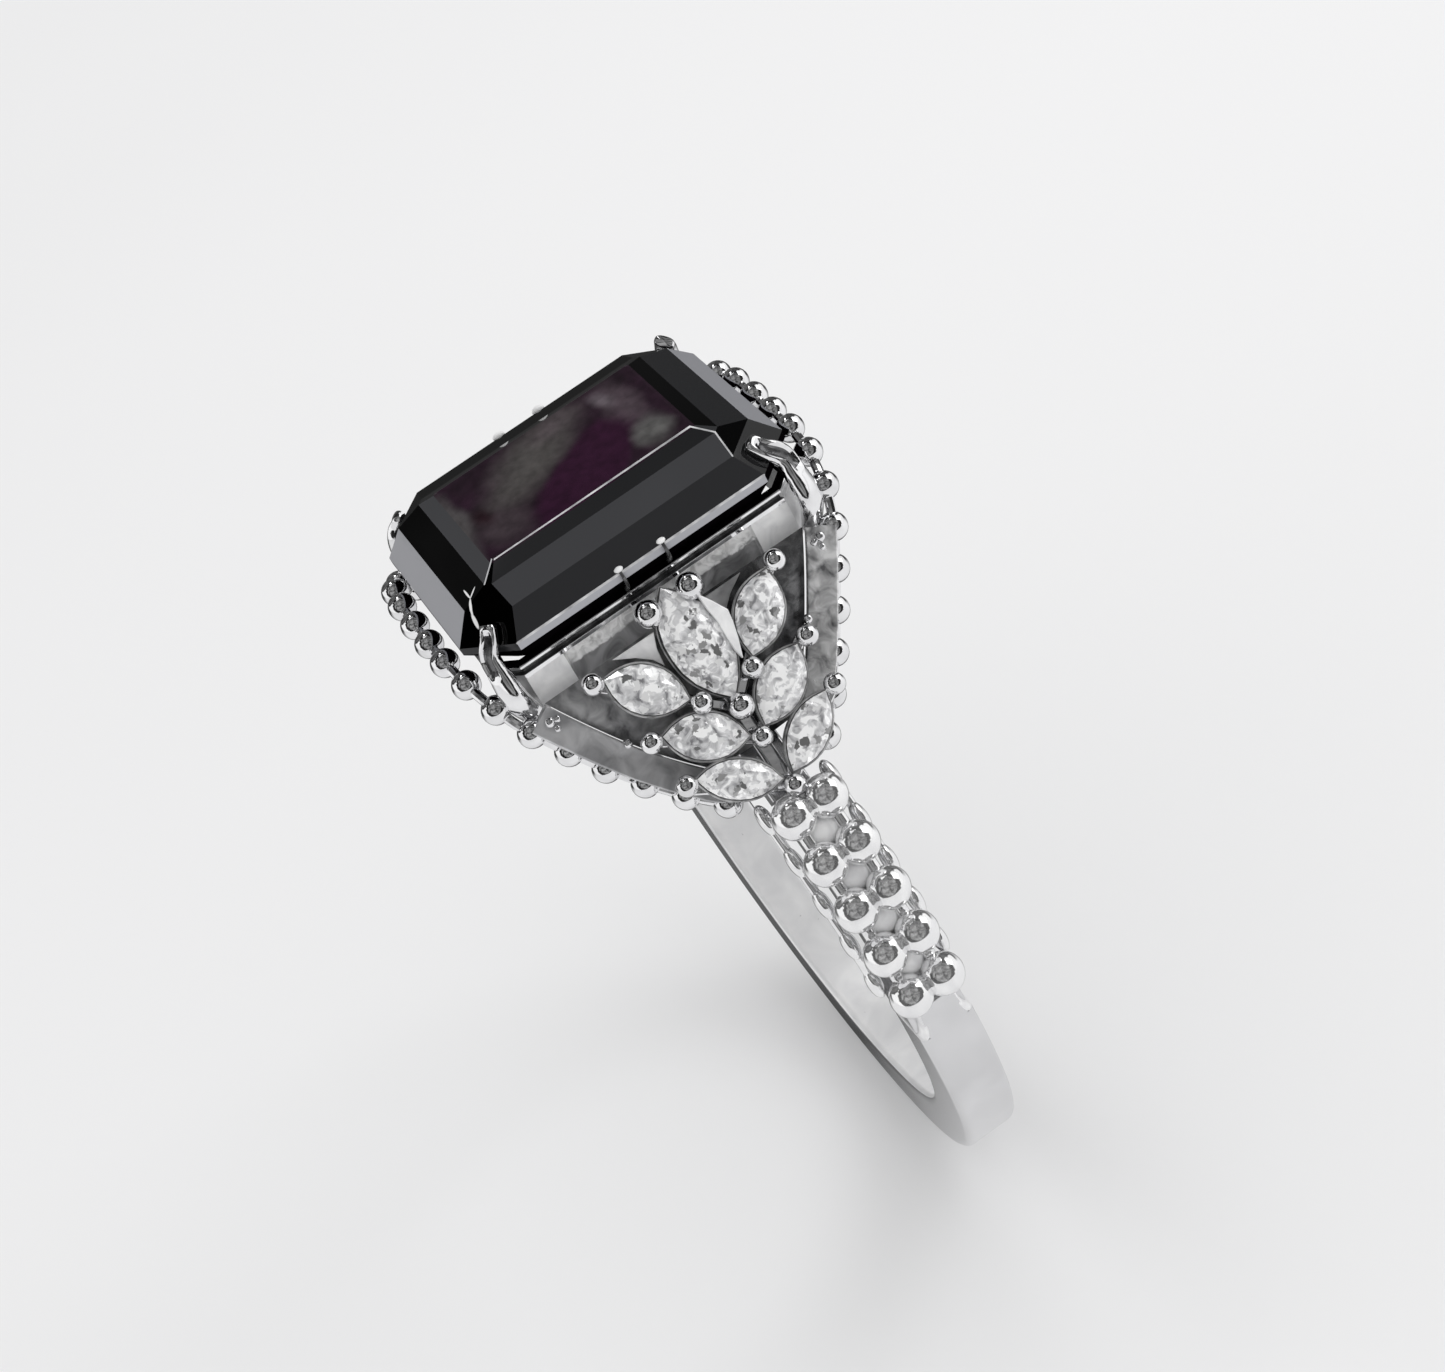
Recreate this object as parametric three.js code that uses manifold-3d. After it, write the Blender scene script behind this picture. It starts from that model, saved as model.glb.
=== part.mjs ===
// Engagement ring: an emerald-cut centre stone held by four corner claws and four side prongs over a
// gallery frame, with a spray of seven marquise stones on each shoulder, a beaded rail round each end of
// the head and down the shoulders, rows of polished balls on the upper shank and a plain band below.
// Millimetres, +Z up through the stone, +Y along the finger, origin at the centre of the finger hole.
import * as THREE from "three";
import { mergeVertices } from "three/addons/utils/BufferGeometryUtils.js";
import Module from "manifold-3d";

const wasm = await Module();
wasm.setup();

// Finger hole and band
const boreRadius = 9.1;
const bandThickness = 1.86;
const bandWidth = 1.7;
const bandEdge = 0.24;
const shoulderWidth = 1.2;
const shoulderEdge = 0.1;
const seatDepth = 0.35;
const shoulderTopAngle = 45.5;
const bridgeThickness = 1.05;
const bridgeWidth = 1.2;
const shoulderStepAngle = 0.4;
const bandStepAngle = 5;

// Gaps: soldered pieces keep solderGap, and a stone keeps stoneGap to the metal round it
const solderGap = 0.05;
const stoneGap = 0.04;

// Two rows of balls on each shoulder, counted from the head down
const ballDiameter = 1.11;
const ballCount = 5;
const ballPitch = 1.472;
const ballRise = 0.15;
const ballWire = 0.4;
const firstBallAngle = 42.14;

// Smaller beads along the two flanks of each shoulder, half a pitch out of step with the balls
const flankBead = 0.74;
const flankDrop = 0.3;
const flankWire = 0.3;

// Centre stone, from its table down: each step is the inset from the girdle outline, the height over
// the girdle and the length of the cut corner
const stoneLength = 10;
const stoneWidth = 8;
const girdleHeight = 4.85;
const girdleThickness = 0.17;
const girdleCorner = 1.24;
const crownSteps = [
  { inset: 0.42, rise: 0.75, corner: 1.03 },
  { inset: 1.34, rise: 1.05, corner: 0.16 },
  { inset: 1.88, rise: 1.29, corner: 0.05 },
];
const pavilionSteps = [
  { inset: 1.1, drop: 1.21, corner: 0.45 },
  { inset: 2.35, drop: 2.3, corner: 0.4 },
];
const pavilionDepth = 3.31;
const keelHalfWidth = 0.05;
const keelCorner = 0.02;

// Gallery frame below the stone, which seats the pavilion on its inner edge
const frameInset = 0.28;
const frameDrop = 0.85;
const frameHeight = 1.65;
const frameCorner = 0.6;
const panelInset = 1.75;
const panelDepth = 0.14;
const panelRail = 0.26;

// Shoulder spray: its plane runs from sprayOverhang outside and sprayDrop below the girdle to the
// first pair of balls. A stone or prong is placed by how far it is down the plane and out from its
// middle, as drawn on a plane of drawnLength, and the drawing is fitted to the real length.
const sprayOverhang = 0.5;
const sprayDrop = 1.15;
const drawnLength = 6.5;
const ribDepth = 1;
const ribThickness = 0.25;
const ribWidth = 0.32;
const spineWidth = 0.44;
const postDiameter = 0.28;
const postDepth = 0.9;
const prongLift = 0.1;
const marquiseStones = [
  { name: "centre", from: [-0.33, 0], to: [3.08, 0], width: 1.6 },
  { name: "upper", from: [0.8, 2.55], to: [2.45, 1.0], width: 1.28 },
  { name: "middle", from: [2.85, 2.12], to: [4.1, 0.25], width: 1.22 },
  { name: "lower", from: [4.26, 2.04], to: [5.5, 0.17], width: 1.04 },
];
const ballProngs = [
  { at: [0.01, 0.62], diameter: 0.66 },
  { at: [0.76, 2.83], diameter: 0.5 },
  { at: [2.67, 0.81], diameter: 0.5 },
  { at: [3.37, 0], diameter: 0.62 },
  { at: [2.8, 2.43], diameter: 0.52 },
  { at: [4.31, 0], diameter: 0.48 },
  { at: [4.34, 2.37], diameter: 0.5 },
  { at: [5.82, 0], diameter: 0.54 },
];
const sprayRibs = [
  { from: [0.01, 0.62], to: [0.01, 0] },
  { from: [0.76, 2.83], to: [3.37, 0] },
  { from: [2.8, 2.43], to: [4.31, 0] },
  { from: [4.34, 2.37], to: [5.82, 0] },
];
const spineTop = -0.2;
const webOutline = [
  [0.47, 0.45],
  [0.55, 2.07],
  [0.86, 1.56],
  [1.18, 1.18],
  [1.55, 0.97],
  [2.27, 0.75],
  [2.2, 0.4],
];
const webTop = 0.1;
const webSlope = 0.36;
const webThickness = 0.2;

// Marquise stones and the trays they sit in, as shares of each stone's own width and outline
const crownShare = 0.2;
const pavilionShare = 0.44;
const marquiseTable = 0.56;
const marquiseGirdle = 0.06;
const marquiseKeel = { length: 0.3, width: 0.06 };
const colletTop = 0.05;
const colletRim = { length: 0.98, width: 0.96 };
const colletFoot = { length: 0.8, width: 0.62 };

// Beaded rails. Each end path point is a share of the half width across, past the stone's end and
// below the rail's height; each edge path point is a share of the way from the corner to the flank
// row, bowed outwards and sunk under the spray plane.
const railBead = 0.8;
const railPitch = 1.12;
const railWire = 0.28;
const railDrop = 0.85;
const endPath = [
  { across: 0, past: 0.6, sink: 0 },
  { across: 0.42, past: 0.57, sink: 0 },
  { across: 0.775, past: 0.41, sink: 0.3 },
  { across: 0.97, past: 0.16, sink: 0.8 },
];
const railCorner = { down: 0.65, inside: 0.08, sink: 0.75 };
const edgePath = [
  { share: 0.5, bow: 0.36, sink: 0.62 },
  { share: 0.8, bow: 0.25, sink: 0.465 },
  { share: 0.884, bow: 0.11, sink: 0.27 },
];

// Flat strips just inside the rails down the shoulders, notched by the rails' beads, and the thin plate
// that closes each half of a shoulder under its stones, from the strip's inner edge to the spine
const stripWidth = 0.7;
const stripThickness = 0.56;
const stripStartDrop = 0.12;
const plateThickness = 0.2;
const plateLength = 0.92;

// Corner claws, whose paths start inside the rail's corner and pass the girdle by these steps, and the
// small prongs at the middle of each long side. Every prong swells a little from its foot and tapers to
// a rounded end.
const clawWidth = 0.74;
const clawThickness = 0.56;
const clawTip = 0.46;
const clawFoot = { across: -0.41, along: -0.44, rise: -0.06 };
const clawBelow = [
  { across: 0.47, along: 0.05, rise: -1.4 },
  { across: 0.2, along: 0.11, rise: -0.65 },
];
const clawAbove = [
  { across: -0.1, along: -0.1, rise: 0.28 },
  { across: -0.3, along: -0.3, rise: 0.55 },
];
const sideProng = 0.3;
const sideProngSpread = 0.71;
const sideProngLap = 0.12;
const sideProngTip = 0.24;
const prongSwell = 0.2;
const prongSwellFrom = 0.22;
const prongSwellRate = 1.35;
const prongTaperFrom = 0.55;
const prongEndShare = 0.45;

// Fineness of the curved surfaces
const ballSides = 9;
const ballRings = 6;
const beadSides = 8;
const beadRings = 4;
const wireSides = 4;
const postSides = 4;
const clawSides = 8;
const clawRings = 10;
const sideProngSides = 6;
const sideProngRings = 6;
const stripSteps = 8;
const marquisePoints = 10;
const mergeDistance = 1e-4;

// What follows from the sizes above
const bandOuter = boreRadius + bandThickness;
const seatRadius = bandOuter - seatDepth;
const ballRowRadius = seatRadius + ballRise + ballDiameter / 2;
const ballRowSide = ballDiameter / 2 + solderGap / 2;
const ballStepAngle = THREE.MathUtils.radToDeg(ballPitch / ballRowRadius);
const lastBallAngle = firstBallAngle - (ballCount - 1) * ballStepAngle;
const plainTopAngle =
  lastBallAngle - THREE.MathUtils.radToDeg((ballDiameter / 2 + solderGap) / ballRowRadius);
const flankRadius = seatRadius - flankDrop;
const flankSide = shoulderWidth / 2 + solderGap + flankBead / 2;
const girdleZ = boreRadius + girdleHeight;
const halfWidth = stoneWidth / 2;
const halfLength = stoneLength / 2;
const frameTop = girdleZ - frameDrop;
const frameWall = pavilionInset(frameDrop - girdleThickness) - frameInset - stoneGap;
const frameHalfX = halfWidth - frameInset;
const frameHalfY = halfLength - frameInset;
const sprayTop = new THREE.Vector3(halfWidth + sprayOverhang, 0, girdleZ - sprayDrop);
const sprayFoot = polar(ballRowRadius, firstBallAngle, 0);
const sprayDown = sprayFoot.clone().sub(sprayTop).normalize();
const sprayAcross = new THREE.Vector3(0, 1, 0);
const sprayOut = sprayDown.clone().cross(sprayAcross).normalize();
const fit = sprayFoot.distanceTo(sprayTop) / drawnLength;

const metal = new THREE.MeshStandardMaterial({ color: 0xdcdee0, roughness: 0.12, metalness: 1 });
const bandMetal = new THREE.MeshStandardMaterial({ color: 0xd6d8da, roughness: 0.18, metalness: 1 });
const darkStone = new THREE.MeshStandardMaterial({ color: 0x150d16, roughness: 0.03, metalness: 0 });
const clearStone = new THREE.MeshStandardMaterial({ color: 0xe8eaec, roughness: 0.04, metalness: 0 });

// A point of the band: radius from the finger's axis, angle in degrees above the horizontal, and side.
function polar(radius, angle, side) {
  const turn = THREE.MathUtils.degToRad(angle);
  return new THREE.Vector3(radius * Math.cos(turn), side, radius * Math.sin(turn));
}

// A point of the right shoulder's spray plane: down it, out from its middle and above it.
function sprayPoint(down, aside, above) {
  return sprayTop
    .clone()
    .addScaledVector(sprayDown, down)
    .addScaledVector(sprayAcross, aside)
    .addScaledVector(sprayOut, above);
}

// A closed three.js geometry as a solid that can be joined and cut, turned to face out if need be.
function solidFrom(geometry) {
  const bare = geometry.index ? geometry.toNonIndexed() : geometry.clone();
  bare.deleteAttribute("normal");
  bare.deleteAttribute("uv");
  const merged = mergeVertices(bare, mergeDistance);
  const vertProperties = merged.attributes.position.array;
  const triVerts = new Uint32Array(merged.index.array);
  const made = new wasm.Manifold(new wasm.Mesh({ numProp: 3, vertProperties, triVerts }));
  if (made.volume() > 0) return made;
  const turned = triVerts.slice();
  for (let i = 0; i < turned.length; i += 3) {
    turned[i + 1] = triVerts[i + 2];
    turned[i + 2] = triVerts[i + 1];
  }
  return new wasm.Manifold(new wasm.Mesh({ numProp: 3, vertProperties, triVerts: turned }));
}

// A solid's surface as a three.js geometry.
function geometryFrom(solid) {
  const made = solid.getMesh();
  const geometry = new THREE.BufferGeometry();
  geometry.setAttribute("position", new THREE.BufferAttribute(made.vertProperties, 3));
  geometry.setIndex(new THREE.BufferAttribute(made.triVerts, 1));
  geometry.computeVertexNormals();
  return geometry;
}

function joinAll(solids) {
  return solids.reduce((joined, solid) => joined.add(solid));
}

function cutAll(solid, tools) {
  return tools.reduce((left, tool) => left.subtract(tool), solid);
}

// A closed solid through rings of points that all have as many points, with its two end rings capped.
function loft(rings) {
  const around = rings[0].length;
  const positions = rings.flatMap((ring) => ring.flatMap((point) => point.toArray()));
  const faces = [];
  for (let ring = 0; ring < rings.length - 1; ring += 1) {
    for (let i = 0; i < around; i += 1) {
      const here = ring * around + i;
      const next = ring * around + ((i + 1) % around);
      faces.push(here, next, next + around, here, next + around, here + around);
    }
  }
  const last = (rings.length - 1) * around;
  for (let i = 1; i < around - 1; i += 1) {
    faces.push(0, i + 1, i, last, last + i, last + i + 1);
  }
  const geometry = new THREE.BufferGeometry();
  geometry.setAttribute("position", new THREE.Float32BufferAttribute(positions, 3));
  geometry.setIndex(faces);
  return solidFrom(geometry);
}

// A round wire along a smooth curve.
function wireAlong(curve, diameter, steps) {
  const section = new THREE.Shape();
  section.absarc(0, 0, diameter / 2, 0, Math.PI * 2);
  const options = { steps, extrudePath: curve, curveSegments: wireSides / 2, bevelEnabled: false };
  return solidFrom(new THREE.ExtrudeGeometry(section, options));
}

function beadAt(point, diameter, sides, rings) {
  const geometry = new THREE.SphereGeometry(diameter / 2, sides, rings);
  geometry.translate(point.x, point.y, point.z);
  return solidFrom(geometry);
}

// Rings of the band's section, a rectangle with eased edges, carried round the finger hole.
function bandSection(angle, thickness, width, edge) {
  const inner = boreRadius;
  const outer = boreRadius + thickness;
  const side = width / 2;
  return [
    [inner, edge - side],
    [inner, side - edge],
    [inner + edge, side],
    [outer - edge, side],
    [outer, side - edge],
    [outer, edge - side],
    [outer - edge, -side],
    [inner + edge, -side],
  ].map(([radius, across]) => polar(radius, angle, across));
}

// The band is plain at the bottom and steps down to a narrower seat for the balls on each shoulder.
function makeBand() {
  const seatThickness = seatRadius - boreRadius;
  const seatFoot = plainTopAngle + shoulderStepAngle;
  const seatSteps = Math.ceil((shoulderTopAngle - plainTopAngle) / bandStepAngle);
  const plainSteps = Math.ceil((180 + 2 * plainTopAngle) / bandStepAngle);
  const rings = [];
  for (let i = 0; i <= seatSteps; i += 1) {
    const angle = shoulderTopAngle + ((seatFoot - shoulderTopAngle) * i) / seatSteps;
    rings.push(bandSection(angle, seatThickness, shoulderWidth, shoulderEdge));
  }
  for (let i = 0; i <= plainSteps; i += 1) {
    const angle = plainTopAngle - ((180 + 2 * plainTopAngle) * i) / plainSteps;
    rings.push(bandSection(angle, bandThickness, bandWidth, bandEdge));
  }
  for (let i = seatSteps; i >= 0; i -= 1) {
    const angle = shoulderTopAngle + ((seatFoot - shoulderTopAngle) * i) / seatSteps;
    rings.push(bandSection(180 - angle, seatThickness, shoulderWidth, shoulderEdge));
  }
  return loft(rings);
}

// The thinner part of the band that closes the finger hole under the head.
function makeBridge() {
  const clearAngle = THREE.MathUtils.radToDeg(solderGap / boreRadius);
  const start = shoulderTopAngle + clearAngle;
  const sweep = 180 - 2 * start;
  const steps = Math.ceil(sweep / bandStepAngle);
  const rings = [];
  for (let i = 0; i <= steps; i += 1) {
    rings.push(bandSection(start + (sweep * i) / steps, bridgeThickness, bridgeWidth, shoulderEdge));
  }
  return loft(rings);
}

// An arc of wire at one radius and side of the band.
function wireArc(radius, side, fromAngle, toAngle, diameter) {
  const steps = Math.ceil(Math.abs(toAngle - fromAngle) / bandStepAngle);
  const points = [];
  for (let i = 0; i <= steps; i += 1) {
    points.push(polar(radius, fromAngle + ((toAngle - fromAngle) * i) / steps, side));
  }
  return wireAlong(new THREE.CatmullRomCurve3(points), diameter, steps);
}

// One row of balls on its seat wire. Side is 1 for the back row and -1 for the front row.
function makeBallRow(side) {
  const wireRadius = seatRadius + solderGap + ballWire / 2;
  const solids = [wireArc(wireRadius, side * ballRowSide, firstBallAngle, lastBallAngle, ballWire)];
  for (let i = 0; i < ballCount; i += 1) {
    const centre = polar(ballRowRadius, firstBallAngle - i * ballStepAngle, side * ballRowSide);
    solids.push(beadAt(centre, ballDiameter, ballSides, ballRings));
  }
  return joinAll(solids);
}

// One flank row of beads, half a step above the balls beside it.
function makeFlankRow(side) {
  const top = firstBallAngle + ballStepAngle / 2;
  const bottom = lastBallAngle + ballStepAngle / 2;
  const solids = [wireArc(flankRadius, side * flankSide, top, bottom, flankWire)];
  for (let i = 0; i < ballCount; i += 1) {
    const centre = polar(flankRadius, top - i * ballStepAngle, side * flankSide);
    solids.push(beadAt(centre, flankBead, beadSides, beadRings));
  }
  return joinAll(solids);
}

// Ring of eight points: a rectangle with cut corners at one height.
function cutCornerRing(halfX, halfY, corner, z) {
  const quarter = [
    [1, 1, 0, -1],
    [1, 1, -1, 0],
    [-1, 1, 1, 0],
    [-1, 1, 0, -1],
    [-1, -1, 0, 1],
    [-1, -1, 1, 0],
    [1, -1, -1, 0],
    [1, -1, 0, 1],
  ];
  return quarter.map(
    ([sx, sy, cx, cy]) =>
      new THREE.Vector3(sx * halfX + cx * corner, sy * halfY + cy * corner, z),
  );
}

// The centre stone, or with grow the space that it needs round it.
function centreStoneSolid(grow) {
  const ring = (inset, corner, z) =>
    cutCornerRing(halfWidth - inset + grow, halfLength - inset + grow, corner, z);
  const girdleBottom = girdleZ - girdleThickness;
  const rings = crownSteps
    .map((step) => ring(step.inset, step.corner, girdleZ + step.rise))
    .reverse();
  rings.push(ring(0, girdleCorner, girdleZ), ring(0, girdleCorner, girdleBottom));
  pavilionSteps.forEach((step) => rings.push(ring(step.inset, step.corner, girdleBottom - step.drop)));
  rings.push(ring(halfWidth - keelHalfWidth, keelCorner, girdleBottom - pavilionDepth));
  if (grow > 0) {
    rings[0].forEach((point) => (point.z += grow));
    rings[rings.length - 1].forEach((point) => (point.z -= grow));
  }
  return loft(rings);
}

// How far the pavilion has drawn in from the girdle outline at a depth below the girdle.
function pavilionInset(drop) {
  const steps = [
    { inset: 0, drop: 0 },
    ...pavilionSteps,
    { inset: halfWidth - keelHalfWidth, drop: pavilionDepth },
  ];
  const below = steps.findIndex((step) => step.drop >= drop);
  const [upper, lower] = [steps[below - 1], steps[below]];
  const share = (drop - upper.drop) / (lower.drop - upper.drop);
  return THREE.MathUtils.lerp(upper.inset, lower.inset, share);
}

// A rectangle with cut corners as a flat outline.
function cutCornerPath(halfX, halfY, corner) {
  return cutCornerRing(halfX, halfY, corner, 0).map((point) => new THREE.Vector2(point.x, point.y));
}

// The wall under the stone, with a shallow sunk panel in each long side.
function frameBody(grow) {
  const outline = new THREE.Shape(cutCornerPath(frameHalfX + grow, frameHalfY + grow, frameCorner));
  const wall = frameWall + 2 * grow;
  const innerCorner = frameCorner - grow;
  outline.holes.push(
    new THREE.Path(
      cutCornerPath(frameHalfX + grow - wall, frameHalfY + grow - wall, innerCorner).reverse(),
    ),
  );
  const depth = frameHeight + 2 * grow;
  const geometry = new THREE.ExtrudeGeometry(outline, { depth, bevelEnabled: false });
  geometry.translate(0, 0, frameTop - frameHeight - grow);
  return solidFrom(geometry);
}

function sunkPanel(side) {
  const length = 2 * (frameHalfY - panelInset);
  const height = frameHeight - panelRail;
  const geometry = new THREE.BoxGeometry(2 * panelDepth, length, 2 * height);
  geometry.translate(side * frameHalfX, 0, frameTop - frameHeight);
  return solidFrom(geometry);
}

// Where the back rail turns down the right shoulder, and where it meets the flank row.
function railCornerPoint() {
  return sprayPoint(railCorner.down * fit, halfLength - railCorner.inside, -railCorner.sink);
}

// Centre line of the back rail: from one flank row up a shoulder's edge, round the end of the head and
// down the other shoulder's edge.
function railCurve() {
  const corner = railCornerPoint();
  const flankTop = polar(flankRadius, firstBallAngle + ballStepAngle / 2, flankSide);
  const half = endPath.map(
    ({ across, past, sink }) =>
      new THREE.Vector3(halfWidth * across, halfLength + past, girdleZ - railDrop - sink),
  );
  half.push(corner);
  edgePath.forEach(({ share, bow, sink }) => {
    const point = corner.clone().lerp(flankTop, share).addScaledVector(sprayOut, -sink);
    point.y += bow;
    half.push(point);
  });
  const mirrored = half.slice(1).map((point) => new THREE.Vector3(-point.x, point.y, point.z));
  return new THREE.CatmullRomCurve3([...mirrored.reverse(), ...half]);
}

// A rail of beads threaded on a wire, the beads evenly spaced along its curve, or with grow the space
// that it needs round it.
function makeRail(curve, grow) {
  const length = curve.getLength();
  const count = Math.round(length / railPitch) + 1;
  const solids = [wireAlong(curve, railWire + 2 * grow, count - 1)];
  for (let i = 0; i < count; i += 1) {
    solids.push(beadAt(curve.getPointAt(i / (count - 1)), railBead + 2 * grow, beadSides, beadRings));
  }
  return joinAll(solids);
}

// The share of the rail's length at which it turns down below its corner on the right shoulder.
function stripStart(curve) {
  const startHeight = railCornerPoint().z - stripStartDrop;
  const tries = 400;
  for (let i = tries / 2; i < tries; i += 1) {
    if (curve.getPointAt(i / tries).z < startHeight) return i / tries;
  }
  return 1;
}

// A point beside the rail, towards the middle of the shoulder, and the directions in and up there.
function besideRail(curve, at, offset) {
  const along = curve.getTangentAt(at);
  const inward = sprayOut.clone().cross(along).normalize();
  if (inward.y > 0) inward.negate();
  const up = along.clone().cross(inward).normalize();
  if (up.dot(sprayOut) < 0) up.negate();
  return { centre: curve.getPointAt(at).addScaledVector(inward, offset), inward, up };
}

// A flat strip just inside the rail, from the foot of the claw down to the end of the rail.
function makeStrip(curve) {
  const offset = railWire / 2 + solderGap + stripWidth / 2;
  const start = stripStart(curve);
  const rings = [];
  for (let i = 0; i <= stripSteps; i += 1) {
    const at = THREE.MathUtils.lerp(start, 1, i / stripSteps);
    const { centre, inward, up } = besideRail(curve, at, offset);
    rings.push(
      [
        [-0.5, -0.5],
        [0.5, -0.5],
        [0.5, 0.5],
        [-0.5, 0.5],
      ].map(([across, above]) =>
        centre
          .clone()
          .addScaledVector(inward, across * stripWidth)
          .addScaledVector(up, above * stripThickness),
      ),
    );
  }
  return loft(rings);
}

// The plate under the back half of the right shoulder's stones, from the strip's edge to the spine.
function makePlate(curve) {
  const offset = railWire / 2 + solderGap + stripWidth + solderGap;
  const start = stripStart(curve);
  const rings = [];
  for (let i = 0; i <= stripSteps; i += 1) {
    const at = THREE.MathUtils.lerp(start, 1, (plateLength * i) / stripSteps);
    const { centre, up } = besideRail(curve, at, offset);
    const down = centre.clone().sub(sprayTop).dot(sprayDown);
    const middle = sprayPoint(down, 0, -ribDepth);
    rings.push([
      centre.clone().addScaledVector(up, -plateThickness / 2),
      centre.clone().addScaledVector(up, plateThickness / 2),
      middle.clone().addScaledVector(sprayOut, plateThickness),
      middle,
    ]);
  }
  return loft(rings);
}

// A tapered prong along a curve: width across it, thickness out from the stone, ending in a round tip.
function makeProng(points, outward, sizes, grow) {
  const { baseWidth, baseThickness, tipShare, ringCount, sideCount } = sizes;
  const curve = new THREE.CatmullRomCurve3(points);
  const rings = [];
  for (let i = 0; i <= ringCount; i += 1) {
    const at = i / ringCount;
    const along = curve.getTangentAt(at);
    const side = along.clone().cross(outward).normalize();
    const out = side.clone().cross(along).normalize();
    const swellAt = Math.min(at * prongSwellRate + prongSwellFrom, 1);
    const swell = 1 - prongSwell * (1 - Math.sin(Math.PI * swellAt));
    const tapering = THREE.MathUtils.smoothstep(at, prongTaperFrom, 1);
    const end = i === ringCount ? prongEndShare : 1;
    const share = swell * THREE.MathUtils.lerp(1, tipShare, tapering) * end;
    const ring = [];
    for (let k = 0; k < sideCount; k += 1) {
      const turn = (2 * Math.PI * (k + 0.5)) / sideCount;
      ring.push(
        curve
          .getPointAt(at)
          .addScaledVector(side, Math.cos(turn) * ((baseWidth / 2) * share + grow))
          .addScaledVector(out, Math.sin(turn) * ((baseThickness / 2) * share + grow)),
      );
    }
    rings.push(ring);
  }
  return loft(rings);
}

// The claw at the right shoulder's back corner, or its mirror at the front corner with side -1.
function makeClaw(side, grow) {
  const cutMiddle = girdleCorner / 2;
  const standOff = (clawThickness / 2 + stoneGap) * Math.SQRT1_2;
  const foot = railCornerPoint();
  foot.add(new THREE.Vector3(clawFoot.across, clawFoot.along, clawFoot.rise));
  const girdle = new THREE.Vector3(
    halfWidth - cutMiddle + standOff,
    halfLength - cutMiddle + standOff,
    girdleZ - girdleThickness / 2,
  );
  const away = ({ across, along, rise }) =>
    new THREE.Vector3(girdle.x + across, girdle.y + along, girdleZ + rise);
  const points = [foot, ...clawBelow.map(away), girdle, ...clawAbove.map(away)];
  points.forEach((point) => (point.y *= side));
  const outward = new THREE.Vector3(1, side, 0).normalize();
  const sizes = {
    baseWidth: clawWidth,
    baseThickness: clawThickness,
    tipShare: clawTip / clawWidth,
    ringCount: clawRings,
    sideCount: clawSides,
  };
  return makeProng(points, outward, sizes, grow);
}

// A small prong that stands on the frame at the middle of a long side and laps the girdle.
function makeSideProng(side) {
  const y = side * sideProngSpread;
  const standOff = sideProng / 2 + stoneGap;
  const points = [
    new THREE.Vector3(frameHalfX - frameWall / 2, y, frameTop + solderGap),
    new THREE.Vector3(halfWidth, y, (frameTop + girdleZ) / 2),
    new THREE.Vector3(halfWidth + standOff, y, girdleZ - girdleThickness / 2),
    new THREE.Vector3(halfWidth + standOff - sideProngLap, y, girdleZ + sideProngLap),
  ];
  const sizes = {
    baseWidth: sideProng,
    baseThickness: sideProng,
    tipShare: sideProngTip / sideProng,
    ringCount: sideProngRings,
    sideCount: sideProngSides,
  };
  return makeProng(points, new THREE.Vector3(1, 0, 0), sizes, 0);
}

// Outline of a marquise stone between two tips on the spray plane: two equal arcs that meet in points.
function marquiseRing(stone, side, lengthShare, widthShare, grow, above) {
  const [down1, aside1] = stone.from.map((value) => value * fit);
  const [down2, aside2] = stone.to.map((value) => value * fit);
  const start = new THREE.Vector2(down1, side * aside1);
  const end = new THREE.Vector2(down2, side * aside2);
  const middle = start.clone().add(end).multiplyScalar(0.5);
  const half = end.clone().sub(start).multiplyScalar(0.5);
  const along = half.clone().normalize();
  const across = new THREE.Vector2(-along.y, along.x);
  const points = [];
  for (let i = 0; i < marquisePoints; i += 1) {
    const turn = i / (marquisePoints / 2);
    const share = turn <= 1 ? 1 - 2 * turn : 2 * turn - 3;
    const edge = turn <= 1 ? 1 : -1;
    const reach = share * (half.length() * lengthShare + grow);
    const halfGirth = ((stone.width * fit) / 2) * widthShare + grow;
    const spread = edge * halfGirth * (1 - share * share);
    points.push(
      sprayPoint(
        middle.x + along.x * reach + across.x * spread,
        middle.y + along.y * reach + across.y * spread,
        above,
      ),
    );
  }
  return points;
}

// One marquise stone: table, crown, thin girdle and a pavilion that ends in a short keel.
function marquiseSolid(stone, side, grow) {
  const width = stone.width * fit;
  const crown = crownShare * width;
  const depth = pavilionShare * width;
  return loft([
    marquiseRing(stone, side, marquiseTable, marquiseTable, grow, crown + marquiseGirdle / 2 + grow),
    marquiseRing(stone, side, 1, 1, grow, marquiseGirdle / 2),
    marquiseRing(stone, side, 1, 1, grow, -marquiseGirdle / 2),
    marquiseRing(
      stone,
      side,
      marquiseKeel.length,
      marquiseKeel.width,
      grow,
      -marquiseGirdle / 2 - depth - grow,
    ),
  ]);
}

// The tray that a marquise stone sits in, a little smaller than the stone and narrower below.
function marquiseCollet(stone, side) {
  const footDepth = ribDepth - ribThickness + solderGap;
  return loft([
    marquiseRing(stone, side, colletRim.length, colletRim.width, 0, -colletTop),
    marquiseRing(stone, side, colletFoot.length, colletFoot.width, 0, -footDepth),
  ]);
}

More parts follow.
